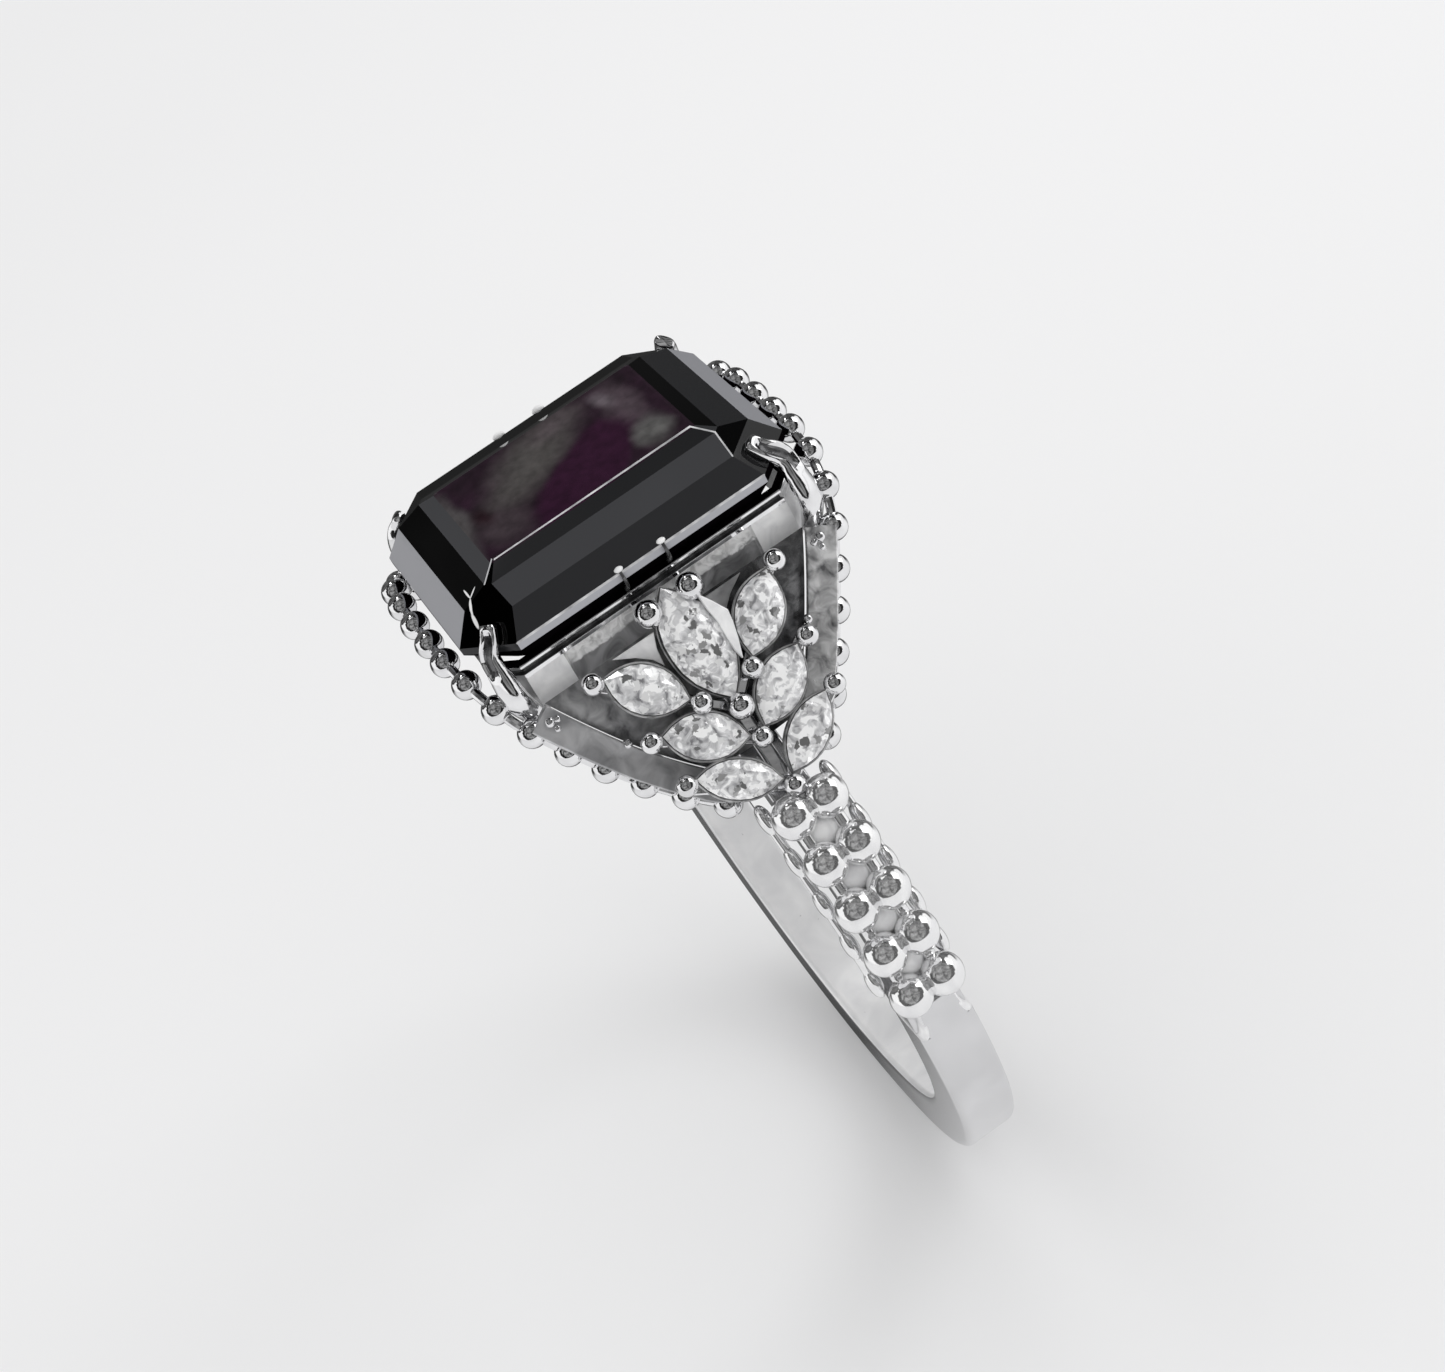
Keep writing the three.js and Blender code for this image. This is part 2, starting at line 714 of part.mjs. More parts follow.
// A straight rib on the underside of the spray.
function sprayRib(from, to, side, width) {
  const [down1, aside1] = from.map((value) => value * fit);
  const [down2, aside2] = to.map((value) => value * fit);
  const start = new THREE.Vector2(down1, side * aside1);
  const end = new THREE.Vector2(down2, side * aside2);
  const across = end.clone().sub(start).normalize();
  const shift = new THREE.Vector2(-across.y, across.x).multiplyScalar(width / 2);
  const ring = (above) =>
    [start.clone().add(shift), end.clone().add(shift), end.clone().sub(shift), start.clone().sub(shift)]
      .map((point) => sprayPoint(point.x, point.y, above));
  return loft([ring(-ribDepth), ring(-ribDepth + ribThickness)]);
}

// A post from the ribs up beside the stones, with a ball on top that laps their edges.
function ballProng(prong, side) {
  const [down, aside] = prong.at.map((value) => value * fit);
  const ring = (above) => {
    const points = [];
    for (let k = 0; k < postSides; k += 1) {
      const turn = (2 * Math.PI * k) / postSides;
      const radius = postDiameter / 2;
      points.push(
        sprayPoint(down + radius * Math.cos(turn), side * aside + radius * Math.sin(turn), above),
      );
    }
    return points;
  };
  const post = loft([ring(-postDepth), ring(prongLift)]);
  const top = sprayPoint(down, side * aside, prongLift);
  return post.add(beadAt(top, prong.diameter, beadSides, beadRings));
}

const bothSides = (item, at) => (at[1] === 0 ? [0] : [1, -1]).map((side) => ({ item, side }));

// A thin web between the frame, the centre stone and an upper stone, which sinks as it goes down.
function sprayWeb(side) {
  const ring = (drop) =>
    webOutline.map(([down, aside]) =>
      sprayPoint(down * fit, side * aside * fit, -webTop - webSlope * down * fit - drop),
    );
  return loft([ring(webThickness), ring(0)]);
}

// The spray's metal: spine, plates, webs, trays, ball prongs and ribs in one piece, with room for its
// stones, the frame and the claws.
function makeSprayFrame(plates, clawSpaces) {
  const spineFoot = ballProngs[ballProngs.length - 1].at;
  const spine = sprayRib([spineTop, 0], spineFoot, 1, spineWidth);
  const solids = [spine, ...plates, sprayWeb(1), sprayWeb(-1)];
  marquiseStones
    .flatMap((stone) => bothSides(stone, stone.from))
    .forEach(({ item, side }) => solids.push(marquiseCollet(item, side)));
  ballProngs
    .flatMap((prong) => bothSides(prong, prong.at))
    .forEach(({ item, side }) => solids.push(ballProng(item, side)));
  sprayRibs
    .flatMap((rib) => bothSides(rib, rib.from))
    .forEach(({ item, side }) => solids.push(sprayRib(item.from, item.to, side, ribWidth)));
  const stones = marquiseStones
    .flatMap((stone) => bothSides(stone, stone.from))
    .map(({ item, side }) => marquiseSolid(item, side, stoneGap));
  return cutAll(joinAll(solids), [...stones, frameBody(solderGap), ...clawSpaces]);
}

const ring = new THREE.Group();
const rightShoulder = new THREE.Group();
const leftShoulder = new THREE.Group();
leftShoulder.rotation.z = Math.PI;
const backEnd = new THREE.Group();
const frontEnd = new THREE.Group();
frontEnd.rotation.z = Math.PI;
ring.add(rightShoulder, leftShoulder, backEnd, frontEnd);

function addPiece(group, name, solid, material) {
  const mesh = new THREE.Mesh(geometryFrom(solid), material.clone());
  mesh.name = name;
  group.add(mesh);
}

// A shoulder piece is made once for the right shoulder, and again turned half round for the left one,
// where the back becomes the front.
function addToBothShoulders(name, end, solid, material) {
  const opposite = { back: "front", front: "back" };
  const suffix = end ? "_" + end : "";
  const turnedSuffix = end ? "_" + opposite[end] : "";
  addPiece(rightShoulder, name + "_right" + suffix, solid, material);
  addPiece(leftShoulder, name + "_left" + turnedSuffix, solid, material);
}

const rail = railCurve();
const sides = { back: 1, front: -1 };
const clawSpaces = Object.values(sides).map((side) => makeClaw(side, solderGap));
const halfTurn = (solid) => solid.rotate([0, 0, 180]);
const allClawSpaces = clawSpaces.flatMap((space) => [space, halfTurn(space)]);
const stoneSpace = centreStoneSolid(stoneGap);
const mirrorY = (solid) => solid.scale([1, -1, 1]);

addPiece(ring, "shank", makeBand(), bandMetal);
addPiece(ring, "head_bridge", makeBridge(), bandMetal);
addPiece(ring, "centre_stone", centreStoneSolid(0), darkStone);
const frameCuts = [sunkPanel(1), sunkPanel(-1), ...allClawSpaces];
addPiece(ring, "gallery_frame", cutAll(frameBody(0), frameCuts), metal);

const railSolid = cutAll(makeRail(rail, 0), allClawSpaces);
addPiece(backEnd, "beaded_rail_back", railSolid, metal);
addPiece(frontEnd, "beaded_rail_front", railSolid, metal);

const backStrip = cutAll(makeStrip(rail), [makeRail(rail, solderGap), ...clawSpaces]);
const backPlate = makePlate(rail);
Object.entries(sides).forEach(([end, side]) => {
  addToBothShoulders("ball_row", end, makeBallRow(side), metal);
  addToBothShoulders("flank_bead_row", end, makeFlankRow(side), metal);
  addToBothShoulders("edge_strip", end, side > 0 ? backStrip : mirrorY(backStrip), metal);
  addToBothShoulders("corner_claw", end, makeClaw(side, 0).subtract(stoneSpace), metal);
  addToBothShoulders("side_prong", end, makeSideProng(side).subtract(stoneSpace), metal);
});

const sprayFrame = makeSprayFrame([backPlate, mirrorY(backPlate)], clawSpaces);
addToBothShoulders("spray_frame", "", sprayFrame, metal);
marquiseStones.forEach((stone) => {
  bothSides(stone, stone.from).forEach(({ item, side }) => {
    const end = { 1: "back", "-1": "front", 0: "" }[side];
    addToBothShoulders("marquise_" + item.name, end, marquiseSolid(item, side, 0), clearStone);
  });
});

export default ring;
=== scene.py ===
import math
import bpy
import numpy as np
from mathutils import Matrix


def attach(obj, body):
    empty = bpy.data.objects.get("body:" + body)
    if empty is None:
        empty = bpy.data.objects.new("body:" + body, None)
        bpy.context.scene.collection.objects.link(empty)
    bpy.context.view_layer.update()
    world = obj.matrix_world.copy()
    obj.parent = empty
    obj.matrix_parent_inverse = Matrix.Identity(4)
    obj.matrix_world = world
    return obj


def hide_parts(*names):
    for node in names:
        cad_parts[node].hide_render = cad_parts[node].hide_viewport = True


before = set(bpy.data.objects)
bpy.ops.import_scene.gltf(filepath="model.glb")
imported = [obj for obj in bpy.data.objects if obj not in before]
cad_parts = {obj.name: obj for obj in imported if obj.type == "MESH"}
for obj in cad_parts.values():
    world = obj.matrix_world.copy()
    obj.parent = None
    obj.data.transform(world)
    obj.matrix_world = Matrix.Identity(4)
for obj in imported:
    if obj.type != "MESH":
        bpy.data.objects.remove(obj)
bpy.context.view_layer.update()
scene = bpy.context.scene
scene.view_settings.view_transform = "Standard"

metre = 0.001  # shapes below are in millimetres, and the meshes in metres

# The parts of the ring that repeat, and the signs of x and y that carry the first one to each
corners = {"right_back": (1, 1), "right_front": (1, -1), "left_back": (-1, 1), "left_front": (-1, -1)}
backCorners = {corner: signs for corner, signs in corners.items() if signs[1] > 0}
frontCorners = {corner: signs for corner, signs in corners.items() if signs[1] < 0}
shoulders = {"right": (1, 1), "left": (-1, 1)}
ends = {"back": (1, 1), "front": (1, -1)}

# Sizes that several pieces share
ringSizes = {
    "bore": 9.1,
    "seat": 10.61,
    "outer": 10.96,
    "girdleTop": 13.95,
    "girdle": 0.24,
    "stoneHalf": (4.0, 5.0),
    "frameTop": 13.1,
    "firstBall": 42.14,
    "ballStep": 7.454,
    "ballRadius": 11.234,
    "flankRadius": 10.31,
    "flankSide": 1.02,
}


# Corner numbers of a grid's four-sided faces; its columns join up, and its rows too where asked.
def gridFaces(rows, columns, joinRows=False, joinColumns=True):
    down = np.arange(rows if joinRows else rows - 1)
    across = np.arange(columns if joinColumns else columns - 1)
    row, column = np.meshgrid(down, across, indexing="ij")
    nextRow, nextColumn = (row + 1) % rows, (column + 1) % columns
    here, beside = row * columns + column, row * columns + nextColumn
    below, opposite = nextRow * columns + column, nextRow * columns + nextColumn
    return np.stack([here, beside, opposite, below], -1).reshape(-1, 4)


# A surface turned to face out: the sum of corner triple products is six times its volume, and a
# negative one reverses every face.
def facingOut(points, faces):
    volume = 0.0
    for group in faces:
        first = points[group[:, 0]]
        for k in range(1, group.shape[1] - 1):
            fan = np.cross(points[group[:, k]], points[group[:, k + 1]])
            volume += float((first * fan).sum())
    if volume < 0:
        faces = [group[:, ::-1] for group in faces]
    return points, faces


# A closed tube: rings of points in rows, and each end ring closed by a fan to its own middle, or to the
# pole given for it.
def tube(rings, poles=None):
    rows, columns = rings.shape[:2]
    poles = (rings[0].mean(0), rings[-1].mean(0)) if poles is None else poles
    points = np.concatenate([rings.reshape(-1, 3), poles])
    around = np.arange(columns)
    beside = (around + 1) % columns
    base = (rows - 1) * columns
    start = np.stack([beside, around, np.full(columns, rows * columns)], -1)
    finish = np.stack([base + around, base + beside, np.full(columns, rows * columns + 1)], -1)
    return facingOut(points, [gridFaces(rows, columns), start, finish])


# A closed band: rings of points in rows, the last row joined to the first.
def loop(rings):
    rows, columns = rings.shape[:2]
    return facingOut(rings.reshape(-1, 3), [gridFaces(rows, columns, True)])


# Balls: each point is a centre plus the radius times (sin a cos b, sin a sin b, cos a). The fans at the
# poles still face inwards.
def balls(centres, radius, sides=32, rings=20):
    a = np.pi * np.arange(1, rings) / rings
    b = 2 * np.pi * np.arange(sides) / sides
    a, b = np.meshgrid(a, b, indexing="ij")
    skin = np.stack([np.sin(a) * np.cos(b), np.sin(a) * np.sin(b), np.cos(a)], -1)
    skin, (wall, *fans) = tube(skin, [(0, 0, 1), (0, 0, -1)])
    faces = [wall] + [fan[:, ::-1] for fan in fans]
    centres = np.atleast_2d(centres)
    radius = np.broadcast_to(radius, len(centres))
    return together([(centre + skin * size, faces) for centre, size in zip(centres, radius)])


# Several surfaces as one.
def together(surfaces):
    points, faces, count = [], {}, 0
    for own, groups in surfaces:
        points.append(own)
        for group in groups:
            faces.setdefault(group.shape[1], []).append(group + count)
        count += len(own)
    return np.concatenate(points), [np.concatenate(groups) for groups in faces.values()]


# A surface carried to another quarter of the ring by the signs of x and y.
def inQuarter(surface, signs):
    points, faces = surface
    placed = points * np.array([signs[0], signs[1], 1.0])
    if signs[0] * signs[1] < 0:
        faces = [group[:, ::-1] for group in faces]
    return placed, faces


def unit(vectors):
    return vectors / np.linalg.norm(vectors, axis=-1, keepdims=True)


# A smooth curve through points: between two of them a cubic whose end slopes come from the points on
# either side, weighted by the square roots of the distances, and then evenly spaced along its length.
def smoothPath(points, count):
    points = np.asarray(points, float)
    padded = np.concatenate([[2 * points[0] - points[1]], points, [2 * points[-1] - points[-2]]])
    gaps = np.sqrt(np.linalg.norm(np.diff(padded, axis=0), axis=1))[:, None]
    p0, p1, p2, p3 = padded[:-3], padded[1:-2], padded[2:-1], padded[3:]
    g0, g1, g2 = gaps[:-2], gaps[1:-1], gaps[2:]
    leave = ((p1 - p0) / g0 - (p2 - p0) / (g0 + g1) + (p2 - p1) / g1) * g1
    reach = ((p2 - p1) / g1 - (p3 - p1) / (g1 + g2) + (p3 - p2) / g2) * g1
    t = np.linspace(0, 1, 48, endpoint=False)[None, :, None]
    a, b = (3 * (p2 - p1) - 2 * leave - reach)[:, None], (2 * (p1 - p2) + leave + reach)[:, None]
    dense = p1[:, None] + leave[:, None] * t + a * t ** 2 + b * t ** 3
    dense = np.concatenate([dense.reshape(-1, 3), points[-1:]])
    run = np.concatenate([[0], np.cumsum(np.linalg.norm(np.diff(dense, axis=0), axis=1))])
    even = np.linspace(0, run[-1], count)
    return np.stack([np.interp(even, run, dense[:, k]) for k in range(3)], -1)


# Sections along a path: each point is the path's point plus across times the side vector and above
# times the upright one; the side vector is the path's direction crossed with the upright one.
def carried(path, section, upright):
    along = unit(np.gradient(path, axis=0))
    side = unit(np.cross(along, upright))
    above = unit(np.cross(side, along))
    section = np.asarray(section, float)
    if section.ndim == 2:
        section = np.broadcast_to(section, (len(path),) + section.shape)
    return path[:, None] + section[..., :1] * side[:, None] + section[..., 1:] * above[:, None]


def circle(radius, count=16):
    turn = 2 * np.pi * np.arange(count) / count
    return radius * np.stack([np.cos(turn), np.sin(turn)], -1)


# A rectangle with rounded corners, walked round from its first corner; each flat keeps two points just
# inside its ends, so that the shading of the round edge stays on the edge.
def easedBox(halfWidth, halfHeight, edge, steps=5):
    past = np.array([-0.25] + [0.0] * steps + [0.25])[:, None]
    points = []
    for k, (sx, sy) in enumerate(((1, 1), (-1, 1), (-1, -1), (1, -1))):
        turn = np.radians([0, *np.linspace(0, 90, steps), 90]) + k * np.pi / 2
        across = np.stack([np.cos(turn), np.sin(turn)], -1)
        ahead = np.stack([-np.sin(turn), np.cos(turn)], -1)
        middle = np.array([sx * (halfWidth - edge), sy * (halfHeight - edge)])
        points.append(middle + edge * (across + past * ahead))
    return np.concatenate(points)


# A point of the band: radius times the cosine and sine of the angle above the horizontal, and a side.
def polar(radius, angle, side):
    turn = np.radians(angle)
    return np.stack([radius * np.cos(turn), side + 0.0 * turn, radius * np.sin(turn)], -1)


# Wire round the band at one radius and side.
def wireArc(radius, side, fromAngle, toAngle, thickness):
    path = polar(radius, np.linspace(fromAngle, toAngle, 40), side)
    return tube(carried(path, circle(thickness / 2), np.array([0.0, 1.0, 0.0])))


# A bar bent round the band's axis: at each angle an eased box between an inner and an outer radius.
def bentBar(angles, inner, outer, width, edge):
    rings = []
    for angle, low, high, wide, ease in zip(*np.broadcast_arrays(angles, inner, outer, width, edge)):
        section = easedBox((high - low) / 2, wide / 2, ease)
        rings.append(polar((high + low) / 2 + section[:, 0], angle, section[:, 1]))
    return tube(np.array(rings))


# Shader nodes: an input is either a number or colour, or another node's socket to link.
def setInputs(tree, node, inputs):
    for key, value in inputs.items():
        if isinstance(value, bpy.types.NodeSocket):
            tree.links.new(value, node.inputs[key])
        else:
            node.inputs[key].default_value = value


def addNode(tree, kind, inputs=None, **settings):
    node = tree.nodes.new("ShaderNode" + kind)
    for key, value in settings.items():
        setattr(node, key, value)
    setInputs(tree, node, inputs or {})
    return node


# A finish whose surface inputs a function works out from the place on the piece and its own look.
def newFinish(name, inputsOf, *look):
    material = bpy.data.materials.new(name)
    material.use_nodes = True
    tree = material.node_tree
    place = addNode(tree, "TexCoord").outputs["Object"]
    setInputs(tree, tree.nodes["Principled BSDF"], inputsOf(tree, place, *look))
    return material


# A colour for each value: most noises run from about 0.3 to 0.7, where their end colours stand.
def rampNode(tree, factor, stops):
    node = addNode(tree, "ValToRGB", {"Fac": factor})
    elements = node.color_ramp.elements
    while len(elements) < len(stops):
        elements.new(0.5)
    for element, (place, colour) in zip(elements, stops):
        element.position = place
        element.color = (*colour, 1.0)
    return node.outputs["Color"]


def noiseNode(tree, place, size, detail=2.0, distortion=0.0, output="Fac"):
    inputs = {"Vector": place, "Scale": 1000.0 / size, "Detail": detail, "Distortion": distortion}
    return addNode(tree, "TexNoise", inputs).outputs[output]


# A value carried from one range to another, and held at its ends.
def rangeNode(tree, value, start=(0.0, 1.0), finish=(0.0, 1.0), **settings):
    inputs = {"Value": value, "From Min": start[0], "From Max": start[1],
              "To Min": finish[0], "To Max": finish[1]}
    return addNode(tree, "MapRange", inputs, **settings).outputs["Result"]


def mathNode(tree, operation, *values):
    return addNode(tree, "Math", dict(enumerate(values)), operation=operation).outputs[0]


def vectorNode(tree, operation, *values, output="Vector"):
    node = addNode(tree, "VectorMath", dict(enumerate(values)), operation=operation)
    return node.outputs[output]


# One colour over another by a share.
def mixNode(tree, share, under, over):
    return addNode(tree, "Mix", {0: share, 6: under, 7: over}, data_type="RGBA").outputs[2]


def bumpNode(tree, height, strength, depth):
    inputs = {"Height": height, "Strength": strength, "Distance": depth * metre}
    return addNode(tree, "Bump", inputs).outputs["Normal"]


# A place pushed about by a noise: the noise's colour times the push, added to it.
def pushedPlace(tree, place, size, push):
    noise = noiseNode(tree, place, size, output="Color")
    return vectorNode(tree, "MULTIPLY_ADD", noise, tuple(value * metre for value in push), place)


# Polished white metal: a soft mottle in its colour, a finer one in its gloss, and slight waves left by
# the polishing wheel. A colour is its red and green, which are equal, and its blue.
def polishedMetal(tree, place, shade, light, mottleSize, fineSize, gloss, waveSize, wave, metallic):
    mottle = noiseNode(tree, place, mottleSize, 3.0, 0.6)
    fine = noiseNode(tree, place, fineSize, 4.0)
    waves = noiseNode(tree, place, waveSize, 2.0, 0.3)
    return {
        "Base Color": rampNode(tree, mottle, [(0.3, (shade[0], *shade)), (0.7, (light[0], *light))]),
        "Metallic": metallic,
        "Roughness": rangeNode(tree, fine, finish=gloss),
        "Normal": bumpNode(tree, waves, wave, 0.02),
    }


metalLooks = {  # shade, light, mottle size, fine size, roughness, wave size and strength, metallic
    "polished_white_metal": ((0.78, 0.79), (0.93, 0.94), 0.6, 0.15, (0.04, 0.11), 0.5, 0.25, 1.0),
    "pale_polished_beads": ((0.84, 0.85), (0.97, 0.97), 0.6, 0.15, (0.05, 0.12), 0.5, 0.3, 0.88),
    "softly_polished_band": ((0.66, 0.67), (0.76, 0.77), 2.5, 0.2, (0.15, 0.24), 1.5, 0.12, 1.0),
    "pale_satin_bore": ((0.74, 0.75), (0.9, 0.9), 1.5, 0.2, (0.25, 0.35), 1.5, 0.12, 0.25),
    "brushed_strip_metal": ((0.3, 0.31), (0.72, 0.73), 0.75, 0.4, (0.26, 0.34), 0.5, 0.3, 0.7),
    "mottled_strip_metal": ((0.14, 0.145), (0.95, 0.95), 0.42, 0.4, (0.22, 0.3), 0.35, 0.5, 0.6),
    # painted shade: the dark metal of the plates under the front shoulders' stones
    "painted_shade_recess_metal": ((0.1, 0.105), (0.5, 0.505), 0.55, 0.15, (0.3, 0.45), 0.4, 0.5, 0.75),
    # painted shadow: the black of the frame and claw grooves, the side prong stems and the back shoulder
    # plates
    "groove_shadow_metal": ((0.03, 0.032), (0.24, 0.245), 0.4, 0.15, (0.2, 0.3), 0.3, 0.3, 0.8),
    "pale_satin_plate": ((0.74, 0.75), (0.96, 0.96), 0.5, 0.3, (0.45, 0.55), 0.4, 0.4, 0.1),
    # painted shade: a darker copy of the pale satin plate, for the back leaf plates and the frame's front
    # corners
    "painted_shade_satin_plate": ((0.18, 0.185), (0.42, 0.425), 0.7, 0.12, (0.25, 0.36), 0.4, 0.4, 0.4),
    # painted shade: the dark outlines round the marquise stones
    "shaded_setting_rim": ((0.22, 0.225), (0.7, 0.7), 0.45, 0.12, (0.12, 0.22), 0.3, 0.4, 0.5),
}
(brightMetal, beadMetal, bandMetal, boreMetal, stripMetal, mottledMetal, shadeRecessMetal, paintedShadowMetal,
 plateMetal, shadedPlateMetal, shadedRimMetal) = (
    newFinish(name, polishedMetal, *look) for name, look in metalLooks.items())


# The sunk panels: mottled grey satin metal with a pale rough band along the top, above a height that a
# noise shifts up and down.
def sunkPanel(tree, place, look):
    height = addNode(tree, "SeparateXYZ", {"Vector": place}).outputs["Z"]
    ragged = noiseNode(tree, place, look["raggedSize"], 3.0, 1.0)
    shifted = mathNode(tree, "MULTIPLY_ADD", ragged, look["ragged"] * metre, height)
    band = rangeNode(tree, shifted, [edge * metre for edge in look["band"]])
    mottle = noiseNode(tree, place, look["mottleSize"], 4.0, 1.2)
    grey = rampNode(tree, mottle, [(0.3, look["shade"]), (0.68, look["light"])])
    pale = rampNode(tree, ragged, [(0.35, look["paleShade"]), (0.6, look["pale"])])
    return {
        "Base Color": mixNode(tree, band, grey, pale),
        "Metallic": rangeNode(tree, band, finish=look["metallic"]),
        "Roughness": rangeNode(tree, mottle, finish=look["gloss"]),
        "Normal": bumpNode(tree, mottle, *look["bump"]),
    }


panelMetal = newFinish("satin_sunk_panel", sunkPanel, {
    "shade": (0.2, 0.2, 0.205),
    "light": (0.6, 0.6, 0.61),
    "mottleSize": 0.8,
    "paleShade": (0.55, 0.55, 0.55),
    "pale": (0.98, 0.98, 0.98),
    "raggedSize": 0.35,
    "ragged": 0.3,
    "band": (12.26, 12.32),
    "metallic": (0.6, 0.1),  # below the pale band, and in it
    "gloss": (0.22, 0.4),
    "bump": (0.6, 0.03),  # strength and depth
})


# A soft oval on a piece: one at its middle and zero at its rim, from its place, turn, length and width
# in millimetres and degrees; it rises to one over the given share of the way in.
def softOval(tree, place, x, y, turn, length, width, soft):
    inputs = {"Vector": place, "Location": (x * metre, y * metre, 0.0),
              "Rotation": (0.0, 0.0, math.radians(turn)),
              "Scale": (length / 2 * metre, width / 2 * metre, 1.0)}
    mapped = addNode(tree, "Mapping", inputs, vector_type="TEXTURE").outputs["Vector"]
    ball = addNode(tree, "TexGradient", {"Vector": mapped}, gradient_type="SPHERICAL").outputs["Fac"]
    return rangeNode(tree, ball, (0.0, soft), interpolation_type="SMOOTHSTEP")


# The dark stone: near black, each facet with its own depth of tone as a painted reflection. The table
# has a plum ground and soft grey veils that are painted reflections, whose rims a noise pushes about;
# thin pale ovals on a corner facet are painted glints.
def plumStone(tree, place, look):
    depth = noiseNode(tree, place, look["depthSize"], 3.0, 0.6)
    table = rampNode(tree, depth, [(0.35, look["black"]), (0.65, look["plum"])])
    push = look["push"]
    pushed = pushedPlace(tree, place, look["pushSize"], (push, push, 0.0))
    for (x, y, *rest), tone in look["paintedTableReflections"]:
        share = softOval(tree, pushed, x + push / 2, y + push / 2, *rest)
        table = mixNode(tree, share, table, (*tone, 1.0))
    grain = noiseNode(tree, place, look["grainSize"], 4.0)
    grained = rangeNode(tree, grain, (0.3, 0.7), (look["grain"], 1.0))
    table = vectorNode(tree, "MULTIPLY", table, grained)
    tone = addNode(tree, "Attribute", attribute_name="paintedFacetReflection").outputs["Fac"]
    facet = rampNode(tree, tone, [(0.0, (0.0, 0.0, 0.0)), (1.0, look["facetTint"])])
    for oval in look["glints"]:
        facet = mixNode(tree, softOval(tree, place, *oval), facet, look["glint"])
    height = addNode(tree, "SeparateXYZ", {"Vector": place}).outputs["Z"]
    above = mathNode(tree, "GREATER_THAN", height, look["tableHeight"] * metre)
    return {
        "Base Color": mixNode(tree, above, facet, table),
        "Roughness": rangeNode(tree, noiseNode(tree, place, look["fineSize"]), finish=look["gloss"]),
        "IOR": look["ior"],
    }


darkStone = newFinish("plum_black_stone", plumStone, {
    "black": (0.016, 0.009, 0.014),
    "plum": (0.026, 0.011, 0.022),
    "depthSize": 2.2,
    "push": 0.7,
    "pushSize": 1.3,
    "grainSize": 0.4,
    "grain": 0.6,
    # painted reflections on the table, each a soft oval
    "paintedTableReflections": [  # place, turn, length, width and softness of an oval, and its colour
        ((-0.75, -0.6, 125, 6.4, 2.9, 0.8), (0.078, 0.072, 0.07)),
        ((-1.6, 0.45, 100, 2.4, 1.4, 1.0), (0.09, 0.074, 0.08)),
        ((1.2, -2.2, 20, 2.6, 1.9, 0.8), (0.05, 0.037, 0.044)),
        ((0.0, -3.45, 0, 5.4, 1.5, 0.6), (0.08, 0.074, 0.076)),
        ((0.2, -2.6, 20, 1.5, 0.8, 1.0), (0.02, 0.008, 0.012)),
        ((1.15, 0.35, 128, 5.6, 2.7, 0.3), (0.029, 0.007, 0.023)),
        ((-0.7, 2.25, 3, 4.0, 1.5, 0.8), (0.076, 0.056, 0.068)),
        ((-1.35, 1.9, 12, 1.7, 0.8, 0.9), (0.13, 0.108, 0.124)),
        ((1.2, 2.35, -5, 2.2, 1.4, 0.8), (0.112, 0.11, 0.108)),
    ],
    # painted glints on a corner facet
    "glints": [(2.15, -4.148, 0, 0.56, 0.06, 0.3), (2.31, -4.02, -57, 0.4, 0.06, 0.3),
               (2.6, -4.263, -28, 0.54, 0.09, 0.3), (2.88, -4.39, -11, 0.34, 0.12, 0.3)],
    "glint": (0.8, 0.8, 0.8, 1.0),
    "facetTint": (0.97, 0.98, 1.05),
    "tableHeight": 15.2,
    "fineSize": 0.8,
    "gloss": (0.015, 0.05),
    "ior": 1.35,
})


# Two plain finishes of the stone: a pale one on the bevelled facet edges, painted glint lines where the
# facets meet, and a black without shine on its underside, painted shade.
def plainStone(tree, place, look):
    mottle = noiseNode(tree, place, look["mottleSize"])
    return {
        "Base Color": rampNode(tree, mottle, [(0.3, look["shade"]), (0.7, look["light"])]),
        "Roughness": rangeNode(tree, mottle, finish=look["gloss"]),
        "Specular IOR Level": look["shine"],
    }


stoneGlintEdge = newFinish("facet_edge_glint", plainStone, {
    "shade": (0.3, 0.3, 0.31),
    "light": (0.75, 0.75, 0.76),
    "mottleSize": 0.5,
    "gloss": (0.1, 0.15),
    "shine": 0.5,
})
stoneShadeUnder = newFinish("painted_shade_underside", plainStone, {
    "shade": (0.001, 0.001, 0.001),
    "light": (0.003, 0.002, 0.003),
    "mottleSize": 0.5,
    "gloss": (0.3, 0.45),
    "shine": 0.0,
})


# The clear stones: glass of a high index. A ragged mottle with white patches, and cells whose own random
# value picks out more white ones and a few dark ones, are painted sparkle: the light and shade of the
# facets that show through from below.
def facetedGlass(tree, place, look):
    colour = rampNode(tree, noiseNode(tree, place, look["mottleSize"], 3.0, 1.2), look["ground"])
    pushed = pushedPlace(tree, place, look["pushSize"], (look["push"],) * 3)
    sparkleCells = addNode(tree, "TexVoronoi", {"Vector": pushed, "Scale": 1000.0 / look["cellSize"]})
    value = addNode(tree, "SeparateXYZ", {"Vector": sparkleCells.outputs["Color"]}).outputs["X"]
    inner = rangeNode(tree, sparkleCells.outputs["Distance"], look["cellRim"], (1.0, 0.0))
    for low, high, tone in look["sparkleCells"]:
        picked = mathNode(tree, "COMPARE", value, (low + high) / 2, (high - low) / 2)
        share = mathNode(tree, "MULTIPLY", picked, inner)
        colour = mixNode(tree, share, colour, (tone, tone, tone, 1.0))
    return {
        "Base Color": colour,
        "Transmission Weight": look["clear"],
        "Roughness": look["gloss"],
        "IOR": look["ior"],
    }


